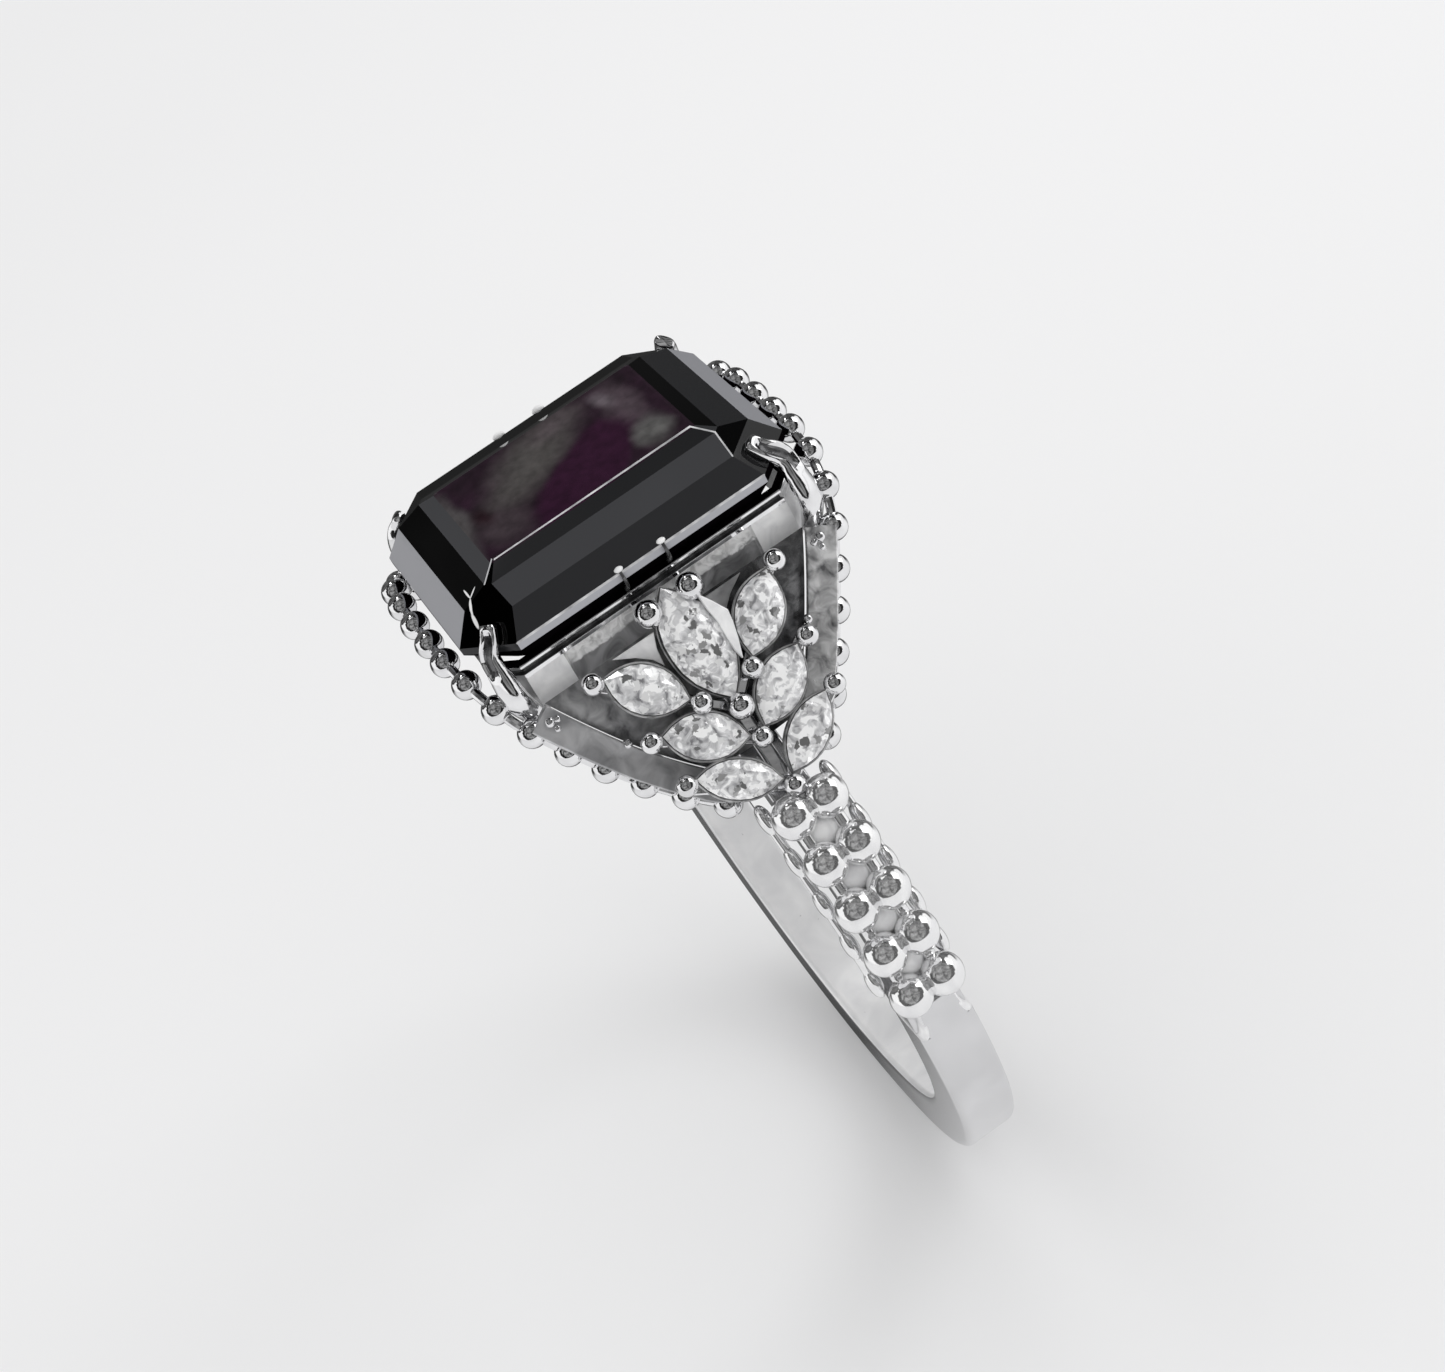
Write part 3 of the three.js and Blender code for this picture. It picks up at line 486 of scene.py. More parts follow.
clearStone = newFinish("clear_faceted_stone", facetedGlass, {
    # the ground runs up to white: painted highlights
    "ground": [(0.3, (0.21, 0.21, 0.22)), (0.42, (0.52, 0.52, 0.53)), (0.54, (0.76, 0.76, 0.77)),
               (0.58, (1.0, 1.0, 1.0))],
    "mottleSize": 0.32,
    "push": 0.35,
    "pushSize": 0.16,
    "cellSize": 0.26,
    "cellRim": (0.46, 0.56),
    # painted sparkle: white highlights and a few dark spots, by cell value range and tone
    "sparkleCells": [(0.84, 1.0, 1.0), (0.72, 0.84, 0.75), (0.08, 0.16, 0.28), (0.0, 0.08, 0.14)],
    "clear": 0.15,
    "gloss": 0.05,
    "ior": 1.6,
})
print("finishes made")


# Makes the mesh, in metres, with smooth faces whose edges sharper than the angle stay crisp.
def addPiece(name, surface, finishes, nodes, crease=35.0, bevel=None, flat=False):
    points, faces = surface
    mesh = bpy.data.meshes.new(name)
    mesh.vertices.add(len(points))
    mesh.vertices.foreach_set("co", (points * metre).astype(np.float32).ravel())
    sizes = np.concatenate([np.full(len(group), group.shape[1]) for group in faces])
    indices = np.concatenate([group.ravel() for group in faces]).astype(np.int32)
    mesh.loops.add(len(indices))
    mesh.loops.foreach_set("vertex_index", indices)
    mesh.polygons.add(len(sizes))
    starts = np.concatenate([[0], np.cumsum(sizes)[:-1]]).astype(np.int32)
    mesh.polygons.foreach_set("loop_start", starts)
    mesh.update(calc_edges=True)
    mesh.validate()
    mesh.polygons.foreach_set("use_smooth", np.full(len(sizes), not flat))
    if not flat:
        mesh.set_sharp_from_angle(angle=math.radians(crease))
    piece = bpy.data.objects.new(name, mesh)
    scene.collection.objects.link(piece)
    for finish in finishes:
        mesh.materials.append(finish)
    if bevel:
        modifier = piece.modifiers.new("edges", "BEVEL")
        modifier.width = bevel * metre
        modifier.segments = 2
        modifier.limit_method = "ANGLE"
        modifier.angle_limit = math.radians(12)
        modifier.harden_normals = True
    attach(piece, "root")
    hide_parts(*nodes)
    return piece


# The same piece at each of several places; {place} and {shoulder} in the node's name are filled in.
def addEach(places, name, surface, finish, node, flat=False):
    for place, signs in places.items():
        nodes = [node.format(place=place, shoulder=place.split("_")[0])]
        addPiece(name + "_" + place, inQuarter(surface, signs), [finish], nodes, flat=flat)


# The middles of a piece's faces, in millimetres, as rows of x, y and z.
def faceMiddles(piece):
    middles = np.zeros(3 * len(piece.data.polygons))
    piece.data.polygons.foreach_get("center", middles)
    return middles.reshape(-1, 3).T / metre


def pickFinishes(piece, picks):
    piece.data.polygons.foreach_set("material_index", np.asarray(picks, np.int32))


bandLook = {
    "top": 45.5,
    "step": 9.4,
    "scoop": 6.4,
    "rise": 0.9,
    "width": 1.7,
    "seatWidth": 1.16,
    "edge": 0.24,
    "seatEdge": 0.1,
    "scooped": (0.03, 0.02),  # how far in from the outer face, and out from the seat's side
    "ledge": (10.4, 2.6, 0.03),  # from, to, and how far in from the band's own faces
    "bridgeThickness": 1.05,
    "bridgeWidth": 1.2,
    "gap": 0.32,
}


# The band's section at each angle: an eased box between the bore and the outer radius. Its width grows
# below the step as one less the square root of one less the square of the way down the scoop.
def bandSurface():
    top, step, scoop = bandLook["top"], bandLook["step"], bandLook["scoop"]
    sweep = np.sin(np.linspace(0, np.pi / 2, 18, endpoint=False))
    angles = np.concatenate([np.linspace(top, step, 40, endpoint=False), step - scoop * sweep,
                             np.linspace(step - scoop, -90, 70)])
    angles = np.concatenate([angles, (180 - angles[:-1])[::-1]])
    height = np.where(angles > 90, 180 - angles, angles)
    way = np.clip((step - height) / scoop, 0, 1)
    seat, seatWidth, seatEdge = ringSizes["seat"], bandLook["seatWidth"], bandLook["seatEdge"]
    width = seatWidth + (bandLook["width"] - seatWidth) * (1 - np.sqrt(1 - way ** 2))
    rise = np.clip((step - height) / bandLook["rise"], 0, 1)
    outer = seat + (ringSizes["outer"] - seat) * np.sin(rise * np.pi / 2)
    edge = seatEdge + (bandLook["edge"] - seatEdge) * way
    return bentBar(angles, ringSizes["bore"], outer, width, edge)


# The ledge left under the scoops: an eased box as wide as the plain band and as high as the seat.
def scoopLedge():
    start, finish, inset = bandLook["ledge"]
    return bentBar(np.linspace(start, finish, 24), ringSizes["bore"] + inset, ringSizes["seat"] - inset,
                   bandLook["width"] - 2 * inset, bandLook["seatEdge"])


# The bridge: an eased box round the top of the bore, a gap short of the band at each end.
def bridgeSurface():
    start, bore = bandLook["top"] + bandLook["gap"], ringSizes["bore"]
    return bentBar(np.linspace(start, 180 - start, 60), bore, bore + bandLook["bridgeThickness"],
                   bandLook["bridgeWidth"], bandLook["seatEdge"])


# The band's finish by the place of a face: 1 in the bore, 2 on the seat and in the scoops, else 0.
def bandPicks(x, y, z):
    radius, height = np.hypot(x, z), np.degrees(np.arctan2(z, abs(x)))
    step, scoop, edge = bandLook["step"], bandLook["scoop"], bandLook["seatEdge"]
    under, beside = bandLook["scooped"]
    inside = radius < ringSizes["bore"] + edge / 2
    seat = (height > step) & (radius > ringSizes["seat"] - edge / 2)
    scooped = (abs(height - step + scoop / 2) < scoop / 2) & (radius < ringSizes["outer"] - under)
    scooped &= abs(y) > bandLook["seatWidth"] / 2 - beside
    return np.select([inside, seat | scooped], [1, 2], 0)


band = addPiece("plain_band", bandSurface(), [bandMetal, boreMetal, plateMetal], ["shank"])
pickFinishes(band, bandPicks(*faceMiddles(band)))
addEach(shoulders, "scoop_ledge", scoopLedge(), bandMetal, "shank")
addPiece("under_bridge", bridgeSurface(), [bandMetal], ["head_bridge"])
print("band made")

ballLook = {
    "diameter": 1.2,
    "count": 5,
    "side": 0.51,
    "wire": 0.4,
    "wireRadius": 10.86,
    "flank": (0.95, 0.42, 0.62),  # length, width, depth
    "flankSide": 1.05,
    "flankShift": 0.27,
    "flankWire": 0.26,
    "lump": (0.96, 0.86, 0.7),
    "lumpRadius": 10.78,
}


# The angles of a row of balls: the first one's, less the step times each ball's number.
def rowAngles(count, shift=0.0):
    return ringSizes["firstBall"] - (np.arange(count) + shift) * ringSizes["ballStep"]


def ballRow():
    angles = rowAngles(ballLook["count"])
    centres = polar(ringSizes["ballRadius"], angles, ballLook["side"])
    wire = wireArc(ballLook["wireRadius"], ballLook["side"], angles[0], angles[-1], ballLook["wire"])
    return together([balls(centres, ballLook["diameter"] / 2, 40, 26), wire])


# Beads that are unit balls stretched along the band, sideways and outwards.
def longBeads(angles, radius, side, size):
    centres = polar(radius, angles, side)
    out = polar(1.0, angles, 0.0)
    along = out[:, ::-1] * np.array([-1.0, 0.0, 1.0])
    skin, faces = balls(np.zeros((len(angles), 3)), 1.0, 28, 18)
    length, width, depth = np.array(size) / 2
    skin = skin.reshape(len(angles), -1, 3)
    beads = centres[:, None] + skin[..., :1] * length * along[:, None]
    beads += skin[..., 2:] * depth * out[:, None] + skin[..., 1:2] * np.array([0.0, width, 0.0])
    return facingOut(beads.reshape(-1, 3), faces)


def flankRow():
    angles = rowAngles(ballLook["count"], -ballLook["flankShift"])
    radius, side = ringSizes["flankRadius"], ballLook["flankSide"]
    wire = wireArc(radius, side, angles[0], angles[-1], ballLook["flankWire"])
    return together([longBeads(angles, radius, side, ballLook["flank"]), wire])


# Low lumps on the seat, in the gaps that the four balls round each of them leave.
def seatLumps():
    return longBeads(rowAngles(ballLook["count"] - 1, 0.5), ballLook["lumpRadius"], 0.0, ballLook["lump"])


addEach(shoulders, "seat_lumps", seatLumps(), plateMetal, "shank")
addEach(corners, "shoulder_balls", ballRow(), beadMetal, "ball_row_{place}")
addEach(corners, "flank_beads", flankRow(), beadMetal, "flank_bead_row_{place}")
print("shoulder balls made")

stoneLook = {
    "crown": [(1.88, 1.29, 0.05), (1.34, 1.05, 0.16), (0.42, 0.75, 1.03)],  # inset, rise, corner
    "endInset": (0.0, 0.0, 0.12),
    "over": 0.1,
    "corner": 1.24,
    "pavilion": [(1.1, 1.21, 0.45), (2.35, 2.3, 0.4)],  # inset, drop, corner
    "keel": (0.05, 3.31, 0.02),  # half width, drop, corner
    # Each facet's tone is a painted reflection, from black up to the facet tint.
    "tones": {  # base colour of the facets round the stone, from the right back corner anticlockwise
        "upper": (0.03, 0.0, 0.002, 0.0, 0.006, 0.054, 0.0, 0.0155),
        "middle": (0.002, 0.019, 0.002, 0.0, 0.002, 0.0, 0.0, 0.05),
        "lower": (0.01, 0.3, 0.004, 0.0, 0.004, 0.27, 0.0, 0.025),
        "girdle": (0.12, 0.25, 0.12, 0.1, 0.12, 0.22, 0.02, 0.43),
        "pavilion": (0.002,) * 24,
        "table and keel": (0.0, 0.0),
    },
    # Finish 2, the underside's painted shade, is on the pavilion, the keel and one girdle facet.
    "finishes": [0] * 24 + [2] + [0] * 7 + [2] * 24 + [0, 2],  # 2 is the underside's
    # The weighted edges are bevelled, and the bevels take the pale painted glint lines.
    "lineWidth": 0.05,
    "lines": [(0, 7, 0, 0, 0.9), (0, 6, 1, 6, 0.5), (0, 0, 1, 0, 0.5), (1, 0, 2, 0, 0.35),
              (3, 7, 3, 0, 0.7), (2, 3, 2, 4, 0.5)],  # ring and corner, ring and corner, share
}


# A ring of eight points: a rectangle of half sizes with its corners cut off.
def cutCorners(halfX, halfY, corner, height):
    signs = np.array([(1, 1), (1, 1), (-1, 1), (-1, 1), (-1, -1), (-1, -1), (1, -1), (1, -1)], float)
    back = np.array([(0, 1), (1, 0), (1, 0), (0, 1), (0, 1), (1, 0), (1, 0), (0, 1)], float)
    flat = signs * (np.array([halfX, halfY]) - back * corner)
    return np.concatenate([flat, np.full((8, 1), height)], 1)


# The emerald cut: cut-cornered rings from the table down the crown, round the girdle, and down the
# pavilion to a keel. The table and the keel still face out while the sides face in.
def centreStone():
    halfX, halfY = ringSizes["stoneHalf"]
    top = ringSizes["girdleTop"]
    bottom = top - ringSizes["girdle"]
    rings = [cutCorners(halfX - i, halfY - i - e, c, top + r)
             for (i, r, c), e in zip(stoneLook["crown"], stoneLook["endInset"])]
    rings += [cutCorners(halfX, halfY + stoneLook["over"], stoneLook["corner"], z) for z in (top, bottom)]
    rings += [cutCorners(halfX - i, halfY - i, c, bottom - d) for i, d, c in stoneLook["pavilion"]]
    half, drop, corner = stoneLook["keel"]
    rings.append(cutCorners(half, halfY - halfX + half, corner, bottom - drop))
    around = np.arange(8)[None]
    faces = [gridFaces(len(rings), 8), around, around[:, ::-1] + (len(rings) - 1) * 8]
    return facingOut(np.concatenate(rings), faces)


# How much of the line width each edge between two ring corners is bevelled by; the bevels carry the
# painted glint lines.
def lineWeights(mesh):
    pairs = np.zeros(2 * len(mesh.edges), np.int32)
    mesh.edges.foreach_get("vertices", pairs)
    pairs = np.sort(pairs.reshape(-1, 2), axis=1)
    weights = np.zeros(len(pairs), np.float32)
    for ring, side, toRing, toSide, share in stoneLook["lines"]:
        weights[(pairs == sorted((8 * ring + side, 8 * toRing + toSide))).all(1)] = share
    return weights


stone = addPiece("emerald_cut_stone", centreStone(), [darkStone, stoneGlintEdge, stoneShadeUnder],
                 ["centre_stone"], crease=5.0)
pickFinishes(stone, stoneLook["finishes"])
# Each face of the stone gets its painted reflection tone.
paintedFacetReflections = np.concatenate(list(stoneLook["tones"].values())).astype(np.float32)
stone.data.attributes.new("paintedFacetReflection", "FLOAT", "FACE").data.foreach_set("value", paintedFacetReflections)
weightLayer = stone.data.attributes.new("bevel_weight_edge", "FLOAT", "EDGE")
weightLayer.data.foreach_set("value", lineWeights(stone.data))
glints = stone.modifiers.new("glints", "BEVEL")
glints.width = stoneLook["lineWidth"] * metre
glints.limit_method = "WEIGHT"
glints.segments = 2
glints.material = 1
print("centre stone made")

frameLook = {
    "half": (3.72, 4.72),
    "corner": 0.6,
    "cornerDraw": 0.586,  # how much shorter a cut corner gets with each millimetre inwards
    "bottom": 11.45,
    "wall": 0.298,
    "groove": (12.8, 12.98, 0.13),  # from, to, depth
    "rim": 0.03,
    "lip": 0.01,
    "panelHalf": 2.97,
    "panelTop": 12.66,
    "panelDepth": 0.14,
    "ramp": 0.05,
    "bevel": 0.03,
    "outside": 3.5,  # faces further out than this are on the long sides
    "plateEnd": 4.15,
    "cut": (3.2, 3.6, 4.2, 0.05),  # on the cut corners: least and greatest x, least y, and under the top
}


# The wall's section is walked up its outer face, over the top and down inside; each section point is
# an inset from the outline, a height, and 1 where the sunk panels step the outer face in.
def galleryFrame():
    low, high, depth = frameLook["groove"]
    top, bottom, wall = ringSizes["frameTop"], frameLook["bottom"], frameLook["wall"]
    panelTop, ramp, rim, lip = frameLook["panelTop"], frameLook["ramp"], frameLook["rim"], frameLook["lip"]
    profile = [(0.0, bottom, 1), (0.0, panelTop - ramp, 1), (0.0, panelTop, 0), (0.0, low, 0),
               (depth, low + lip, 0), (depth, high - lip, 0), (0.0, high, 0), (0.0, top - rim, 0),
               (rim, top, 0), (wall, top, 0), (wall, bottom, 0)]
    halfX, halfY = frameLook["half"]
    half = frameLook["panelHalf"]
    stops = [(half, 0), (half - ramp, 1), (ramp - half, 1), (-half, 0)]
    rings = []
    for inset, height, sinks in profile:
        corner = frameLook["corner"] - frameLook["cornerDraw"] * inset
        outline = cutCorners(halfX - inset, halfY - inset, corner, height)
        sunk = [(halfX - inset - sinks * s * frameLook["panelDepth"], y) for y, s in stops]
        rings.append([*outline[:4], *((-x, y, height) for x, y in sunk),
                      *outline[4:], *((x, -y, height) for x, y in sunk)])
    return loop(np.array(rings, float))


# The frame's finish by the place of a face: 1 in the sunk panels, 2 on the plates beside them and the
# back corners, 3 in the groove as a painted shadow line, 4 on the front corners in the darker copy of
# the plate as painted shade, else 0.
def galleryPicks(x, y, z):
    near, far, past, under = frameLook["cut"]
    low, high = frameLook["groove"][:2]
    outside = (abs(x) > frameLook["outside"]) & (z < frameLook["panelTop"])
    cut = (abs(x) > near) & (abs(x) < far) & (abs(y) > past) & (z < ringSizes["frameTop"] - under)
    spots = [outside & (abs(y) < frameLook["panelHalf"]), outside & (abs(y) < frameLook["plateEnd"]),
             cut & (y > 0), (z > low) & (z < high), cut]
    return np.select(spots, [1, 2, 2, 3, 4], 0)


gallery = addPiece("gallery_frame_wall", galleryFrame(),
                   [brightMetal, panelMetal, plateMetal, paintedShadowMetal, shadedPlateMetal],
                   ["gallery_frame"], crease=10.0, bevel=frameLook["bevel"])
pickFinishes(gallery, galleryPicks(*faceMiddles(gallery)))
print("gallery frame made")

# The plane of a shoulder, from beside the stone down to the first balls
sprayTop = np.array([4.5, 0.0, 12.8])
sprayFoot = polar(ringSizes["ballRadius"], ringSizes["firstBall"], 0.0)
sprayDown = unit(sprayFoot - sprayTop)
sprayAcross = np.array([0.0, 1.0, 0.0])
sprayOut = unit(np.cross(sprayDown, sprayAcross))
fit = np.linalg.norm(sprayFoot - sprayTop) / 6.5  # the outlines on it were drawn 6.5 long


# A point of the shoulder's plane: its top plus down, aside and above times the plane's own vectors.
def onSpray(down, aside, above):
    down, aside, above = np.broadcast_arrays(down, aside, above)
    return (sprayTop + down[..., None] * sprayDown + aside[..., None] * sprayAcross
            + above[..., None] * sprayOut)


railLook = {
    "bead": 0.8,
    "pitch": 1.12,
    "wire": 0.28,
    "end": [(0, 0.6, 0), (0.42, 0.57, 0), (0.775, 0.41, 0.3), (0.97, 0.16, 0.8)],  # across, past, sink
    "drop": 0.85,
    "corner": (0.65, 0.08, 0.75),  # down, in and under
    "edge": [(0.5, 0.36, 0.62), (0.8, 0.25, 0.465), (0.884, 0.11, 0.27)],  # share, bow, sink
}
railDown, railIn, railUnder = railLook["corner"]
railCorner = onSpray(railDown * fit, ringSizes["stoneHalf"][1] - railIn, -railUnder)


# The points a rail passes: round half an end of the stone, down the shoulder's edge, and mirrored.
def railPoints():
    halfX, halfY = ringSizes["stoneHalf"]
    flankTop = polar(ringSizes["flankRadius"], rowAngles(1, -0.5)[0], ringSizes["flankSide"])
    height = ringSizes["girdleTop"] - railLook["drop"]
    half = [np.array([halfX * a, halfY + p, height - s]) for a, p, s in railLook["end"]]
    half.append(railCorner)
    for share, bow, sink in railLook["edge"]:
        point = railCorner + (flankTop - railCorner) * share - sprayOut * sink
        half.append(point + np.array([0.0, bow, 0.0]))
    mirrored = [point * np.array([-1.0, 1.0, 1.0]) for point in half[1:]]
    return np.array(mirrored[::-1] + half)


railPath = smoothPath(railPoints(), 401)


# Beads at even steps along the rail's path, on a wire whose section is turned a little off square, so
# that the path never runs along the upright vector.
def beadedRail():
    length = np.linalg.norm(np.diff(railPath, axis=0), axis=1).sum()
    centres = smoothPath(railPoints(), int(round(length / railLook["pitch"])) + 1)
    wire = tube(carried(railPath[::2], circle(railLook["wire"] / 2, 10), sprayAcross + 0.01))
    return together([balls(centres, railLook["bead"] / 2, 30, 20), wire])


addEach(ends, "bead_rail", beadedRail(), brightMetal, "beaded_rail_{place}")
print("rails made")

stripLook = {
    "aside": (-0.02, 0.8),
    "above": (0.08, 0.42),
    "edge": 0.05,
    "startDrop": 0.12,
    "lumps": [(0.045, 0.45, 0.3), (0.075, 0.62, 0.22), (0.1, 0.4, 0.2), (0.44, 0.8, 0.28)],
}
plateLook = {"outer": 0.84, "depth": 1.0, "thickness": 0.2, "share": 0.92, "columns": 14}


# Points just inside the rail below its corner, and the directions towards the middle of the shoulder
# and out of it there.
def besideRail(share=1.0):
    half = railPath[200:]
    path = smoothPath(half[half[:, 2] < railCorner[2] - stripLook["startDrop"]], 90)
    along = unit(np.gradient(path, axis=0))
    inward = unit(np.cross(sprayOut, along))
    inward[inward[:, 1] > 0] *= -1
    up = unit(np.cross(along, inward))
    up[(up @ sprayOut) < 0] *= -1
    kept = int(round(share * len(path)))
    return path[:kept], inward[:kept], up[:kept]


# A flat strip just inside the rail: an eased box carried along beside it.
def edgeStrip():
    path, inward, up = besideRail()
    (outer, inner), (low, high) = stripLook["aside"], stripLook["above"]
    section = easedBox((inner - outer) / 2, (high - low) / 2, stripLook["edge"], 4)
    section = (section + np.array([(inner + outer) / 2, (high + low) / 2]))[None]
    return tube(path[:, None] + section[..., :1] * inward[:, None] + section[..., 1:] * up[:, None])


# Small solder lumps on the strip: share of its length, place across it, and diameter.
def stripLumps():
    path, inward, up = besideRail()
    share, aside, size = np.array(stripLook["lumps"]).T
    at = (share * (len(path) - 1)).astype(int)
    centres = path[at] + aside[:, None] * inward[at] + stripLook["above"][1] * up[at]
    return balls(centres, size / 2, 18, 12)


# The plate that closes half a shoulder under its stones: straight lines from the strip's inner edge to
# the shoulder's centre line, on an upper face and, plate thickness below it, a lower one. Its dark
# finish is painted shade under the stones.
def shoulderPlate():
    path, inward, up = besideRail(plateLook["share"])
    edge = path + inward * plateLook["outer"]
    down = (edge - sprayTop) @ sprayDown
    middle = onSpray(down, 0.0, plateLook["thickness"] - plateLook["depth"])
    share = np.linspace(0, 1, plateLook["columns"])[None, :, None]
    upper = (edge + up * plateLook["thickness"] / 2)[:, None] * (1 - share) + middle[:, None] * share
    lower = upper - sprayOut * plateLook["thickness"]
    return tube(np.concatenate([upper, lower[:, ::-1]], axis=1))


# The shoulder plates take dark finishes, painted shade under the stones: the darkest one at the back, a
# dark recess one at the front.
for places, stripFinish, plateFinish in ((backCorners, mottledMetal, paintedShadowMetal),
                                         (frontCorners, stripMetal, shadeRecessMetal)):
    addEach(places, "edge_band", edgeStrip(), stripFinish, "edge_strip_{place}")
    addEach(places, "solder_lumps", stripLumps(), brightMetal, "edge_strip_{place}")
    addEach(places, "shoulder_plate", shoulderPlate(), plateFinish, "spray_frame_{shoulder}")
print("edge strips made")

prongLook = {
    "rings": 60,
    "sides": 40,
    "swell": (0.2, 1.35, 0.22),  # how much thinner the foot is, and the rate and start of the swelling
    "drawFrom": 0.55,
    "closeFrom": 0.95,
    "square": 0.75,  # the power that makes the round section squarer
    "grooveHalf": 0.5,
    "grooveEnds": (0.5, 0.08, 0.94, 0.05),  # where it starts, its run-in, where it ends, its run-out
}
clawLook = {
    "width": 0.74,
    "thickness": 0.56,
    "tip": 0.56,
    "in": 0.62,
    "foot": (-0.41, -0.44, -0.06),
    "below": [(0.47, 0.05, -1.4), (0.23, 0.05, -0.66)],
    "above": [(-0.04, -0.22, 0.27), (-0.25, -0.43, 0.58)],
    "shift": {"right_back": (-0.09, -0.2, 0.1), "left_back": (-0.22, 0.42, 0.06)},
    "shiftShares": (0.6, 1.0),
    "wide": {"right_back": 1.22, "left_back": 1.3},
    "groove": 0.16,
    "darkHalf": 0.34,
    "dark": (0.54, 0.9),
    "gap": 0.04,
}
sideLook = {  # for each shoulder, the tip's way in over the girdle and up from it, and its half sizes
    "size": 0.13,
    "spread": 0.66,
    "tip": 0.11,
    "sink": 0.02,
    "right": ((0.12, 0.12), (0.1, 0.13, 0.07)),
    "left": ((0.27, 0.62), (0.11, 0.19, 0.14)),
}


# A prong: round-cornered sections carried along a smooth path, swelling from the foot, drawn in to the
# tip and closed there; a groove runs along the upper half of the outer face, between two raised edges.
def prong(points, outward, width, thickness, tip, groove=0.0):
    path = smoothPath(points, prongLook["rings"])
    way = np.linspace(0, 1, prongLook["rings"])
    thin, rate, start = prongLook["swell"]
    swell = 1 - thin * (1 - np.sin(np.pi * np.minimum(way * rate + start, 1)))
    draw = np.clip((way - prongLook["drawFrom"]) / (1 - prongLook["drawFrom"]), 0, 1)
    taper = 1 + (tip / width - 1) * draw * draw * (3 - 2 * draw)
    closing = np.clip((way - prongLook["closeFrom"]) / (1 - prongLook["closeFrom"]), 0, 1)
    share = swell * taper * np.clip(1 - closing ** 3, 0.02, 1) ** 0.5
    across, out = circle(1.0, prongLook["sides"]).T
    across, out = (np.sign(part) * abs(part) ** prongLook["square"] for part in (across, out))
    dip = np.exp(-((across / prongLook["grooveHalf"]) ** 4)) * (out > 0)
    begin, runIn, end, runOut = prongLook["grooveEnds"]
    fade = groove * np.clip((way - begin) / runIn, 0, 1) * np.clip((end - way) / runOut, 0, 1)
    section = np.stack([
        across[None] * (width / 2) * share[:, None],
        out[None] * (thickness / 2) * share[:, None] - dip[None] * fade[:, None],
    ], -1)
    return tube(carried(path, section, outward))


# A claw leans out from its foot beside the rail, passes the girdle's cut corner and laps over the crown.
def cornerClaw(corner):
    halfX, halfY = ringSizes["stoneHalf"]
    diagonal = math.sqrt(0.5)
    off = (clawLook["thickness"] / 2 + clawLook["gap"]) * diagonal - clawLook["in"]
    girdle = np.array([halfX + off, halfY + off, ringSizes["girdleTop"]])
    shift = np.array(clawLook["shift"].get(corner, (0.0, 0.0, 0.0)))
    points = [railCorner + clawLook["foot"], *(girdle + step for step in clawLook["below"]),
              girdle - [0.0, 0.0, ringSizes["girdle"] / 2]]
    for step, share in zip(clawLook["above"], clawLook["shiftShares"]):
        points.append(girdle + step + shift * share)
    wide = clawLook["wide"].get(corner, 1.0)
    return prong(points, np.array([diagonal, diagonal, 0.0]), clawLook["width"] * wide,
                 clawLook["thickness"], clawLook["tip"] * wide, clawLook["groove"])


# A side prong's stem, from the frame's wall past the girdle, and the small oval bead on its end.
def sideProng(shoulder):
    halfX = ringSizes["stoneHalf"][0]
    frameTop, girdleTop = ringSizes["frameTop"], ringSizes["girdleTop"]
    off = sideLook["size"] / 2 + clawLook["gap"]
    y = sideLook["spread"]
    (lap, rise), bead = sideLook[shoulder]
    points = [
        (frameLook["half"][0] - frameLook["wall"] / 2, y, frameTop + sideLook["sink"]),
        (halfX, y, (frameTop + girdleTop) / 2),
        (halfX + off, y, girdleTop - ringSizes["girdle"] / 2),
        (halfX + off - lap, y, girdleTop + rise),
    ]
    stem = prong(points, np.array([1.0, 0.0, 0.0]), sideLook["size"], sideLook["size"], sideLook["tip"])
    tip, faces = balls(np.zeros(3), 1.0, 18, 12)
    return stem, (points[-1] + tip * np.array(bead), faces)


# A claw's groove takes the dark finish, a painted shadow: the faces over the middle of the outer face,
# for the part of its length where the groove is cut.
def groovePicks():
    rows, sides = prongLook["rings"] - 1, prongLook["sides"]
    turn = 2 * np.pi * (np.arange(sides) + 0.5) / sides
    way = (np.arange(rows) + 0.5) / rows
    start, finish = clawLook["dark"]
    hollow = (np.sin(turn) > 0) & (abs(np.cos(turn)) < clawLook["darkHalf"])
    picks = ((way > start) & (way < finish))[:, None] & hollow[None]
    return np.concatenate([picks.ravel(), np.zeros(2 * sides, bool)])


for corner, signs in corners.items():
    claw = addPiece("corner_claw_" + corner + "_made", inQuarter(cornerClaw(corner), signs),
                    [brightMetal, paintedShadowMetal], ["corner_claw_" + corner])
    pickFinishes(claw, groovePicks())
    stem, tip = sideProng(corner.split("_")[0])
    # The stem takes the dark finish as painted shade; the tip takes the pale plate.
    addEach({corner: signs}, "side_prong_stem", stem, paintedShadowMetal, "side_prong_{place}")
    addEach({corner: signs}, "side_prong_tip", tip, plateMetal, "side_prong_{place}")
print("claws made")

marquiseLook = {
    "stones": {  # one tip, the other tip, width
        "centre": ((-0.33, 0), (3.08, 0), 1.6),
        "upper": ((0.8, 2.55), (2.45, 1.0), 1.28),
        "middle": ((2.85, 2.12), (4.1, 0.25), 1.22),
        "lower": ((4.26, 2.04), (5.5, 0.17), 1.04),
    },
    "crown": 0.2,
    "pavilion": 0.44,
    "table": 0.5,
    "star": (0.78, 0.62),  # shares of the outline and of the crown's height
    "inner": (0.6, 0.42),  # shares of the outline and of the pavilion's depth
    "girdle": 0.06,
    "keel": 0.3,
    "fullness": 2.3,
}


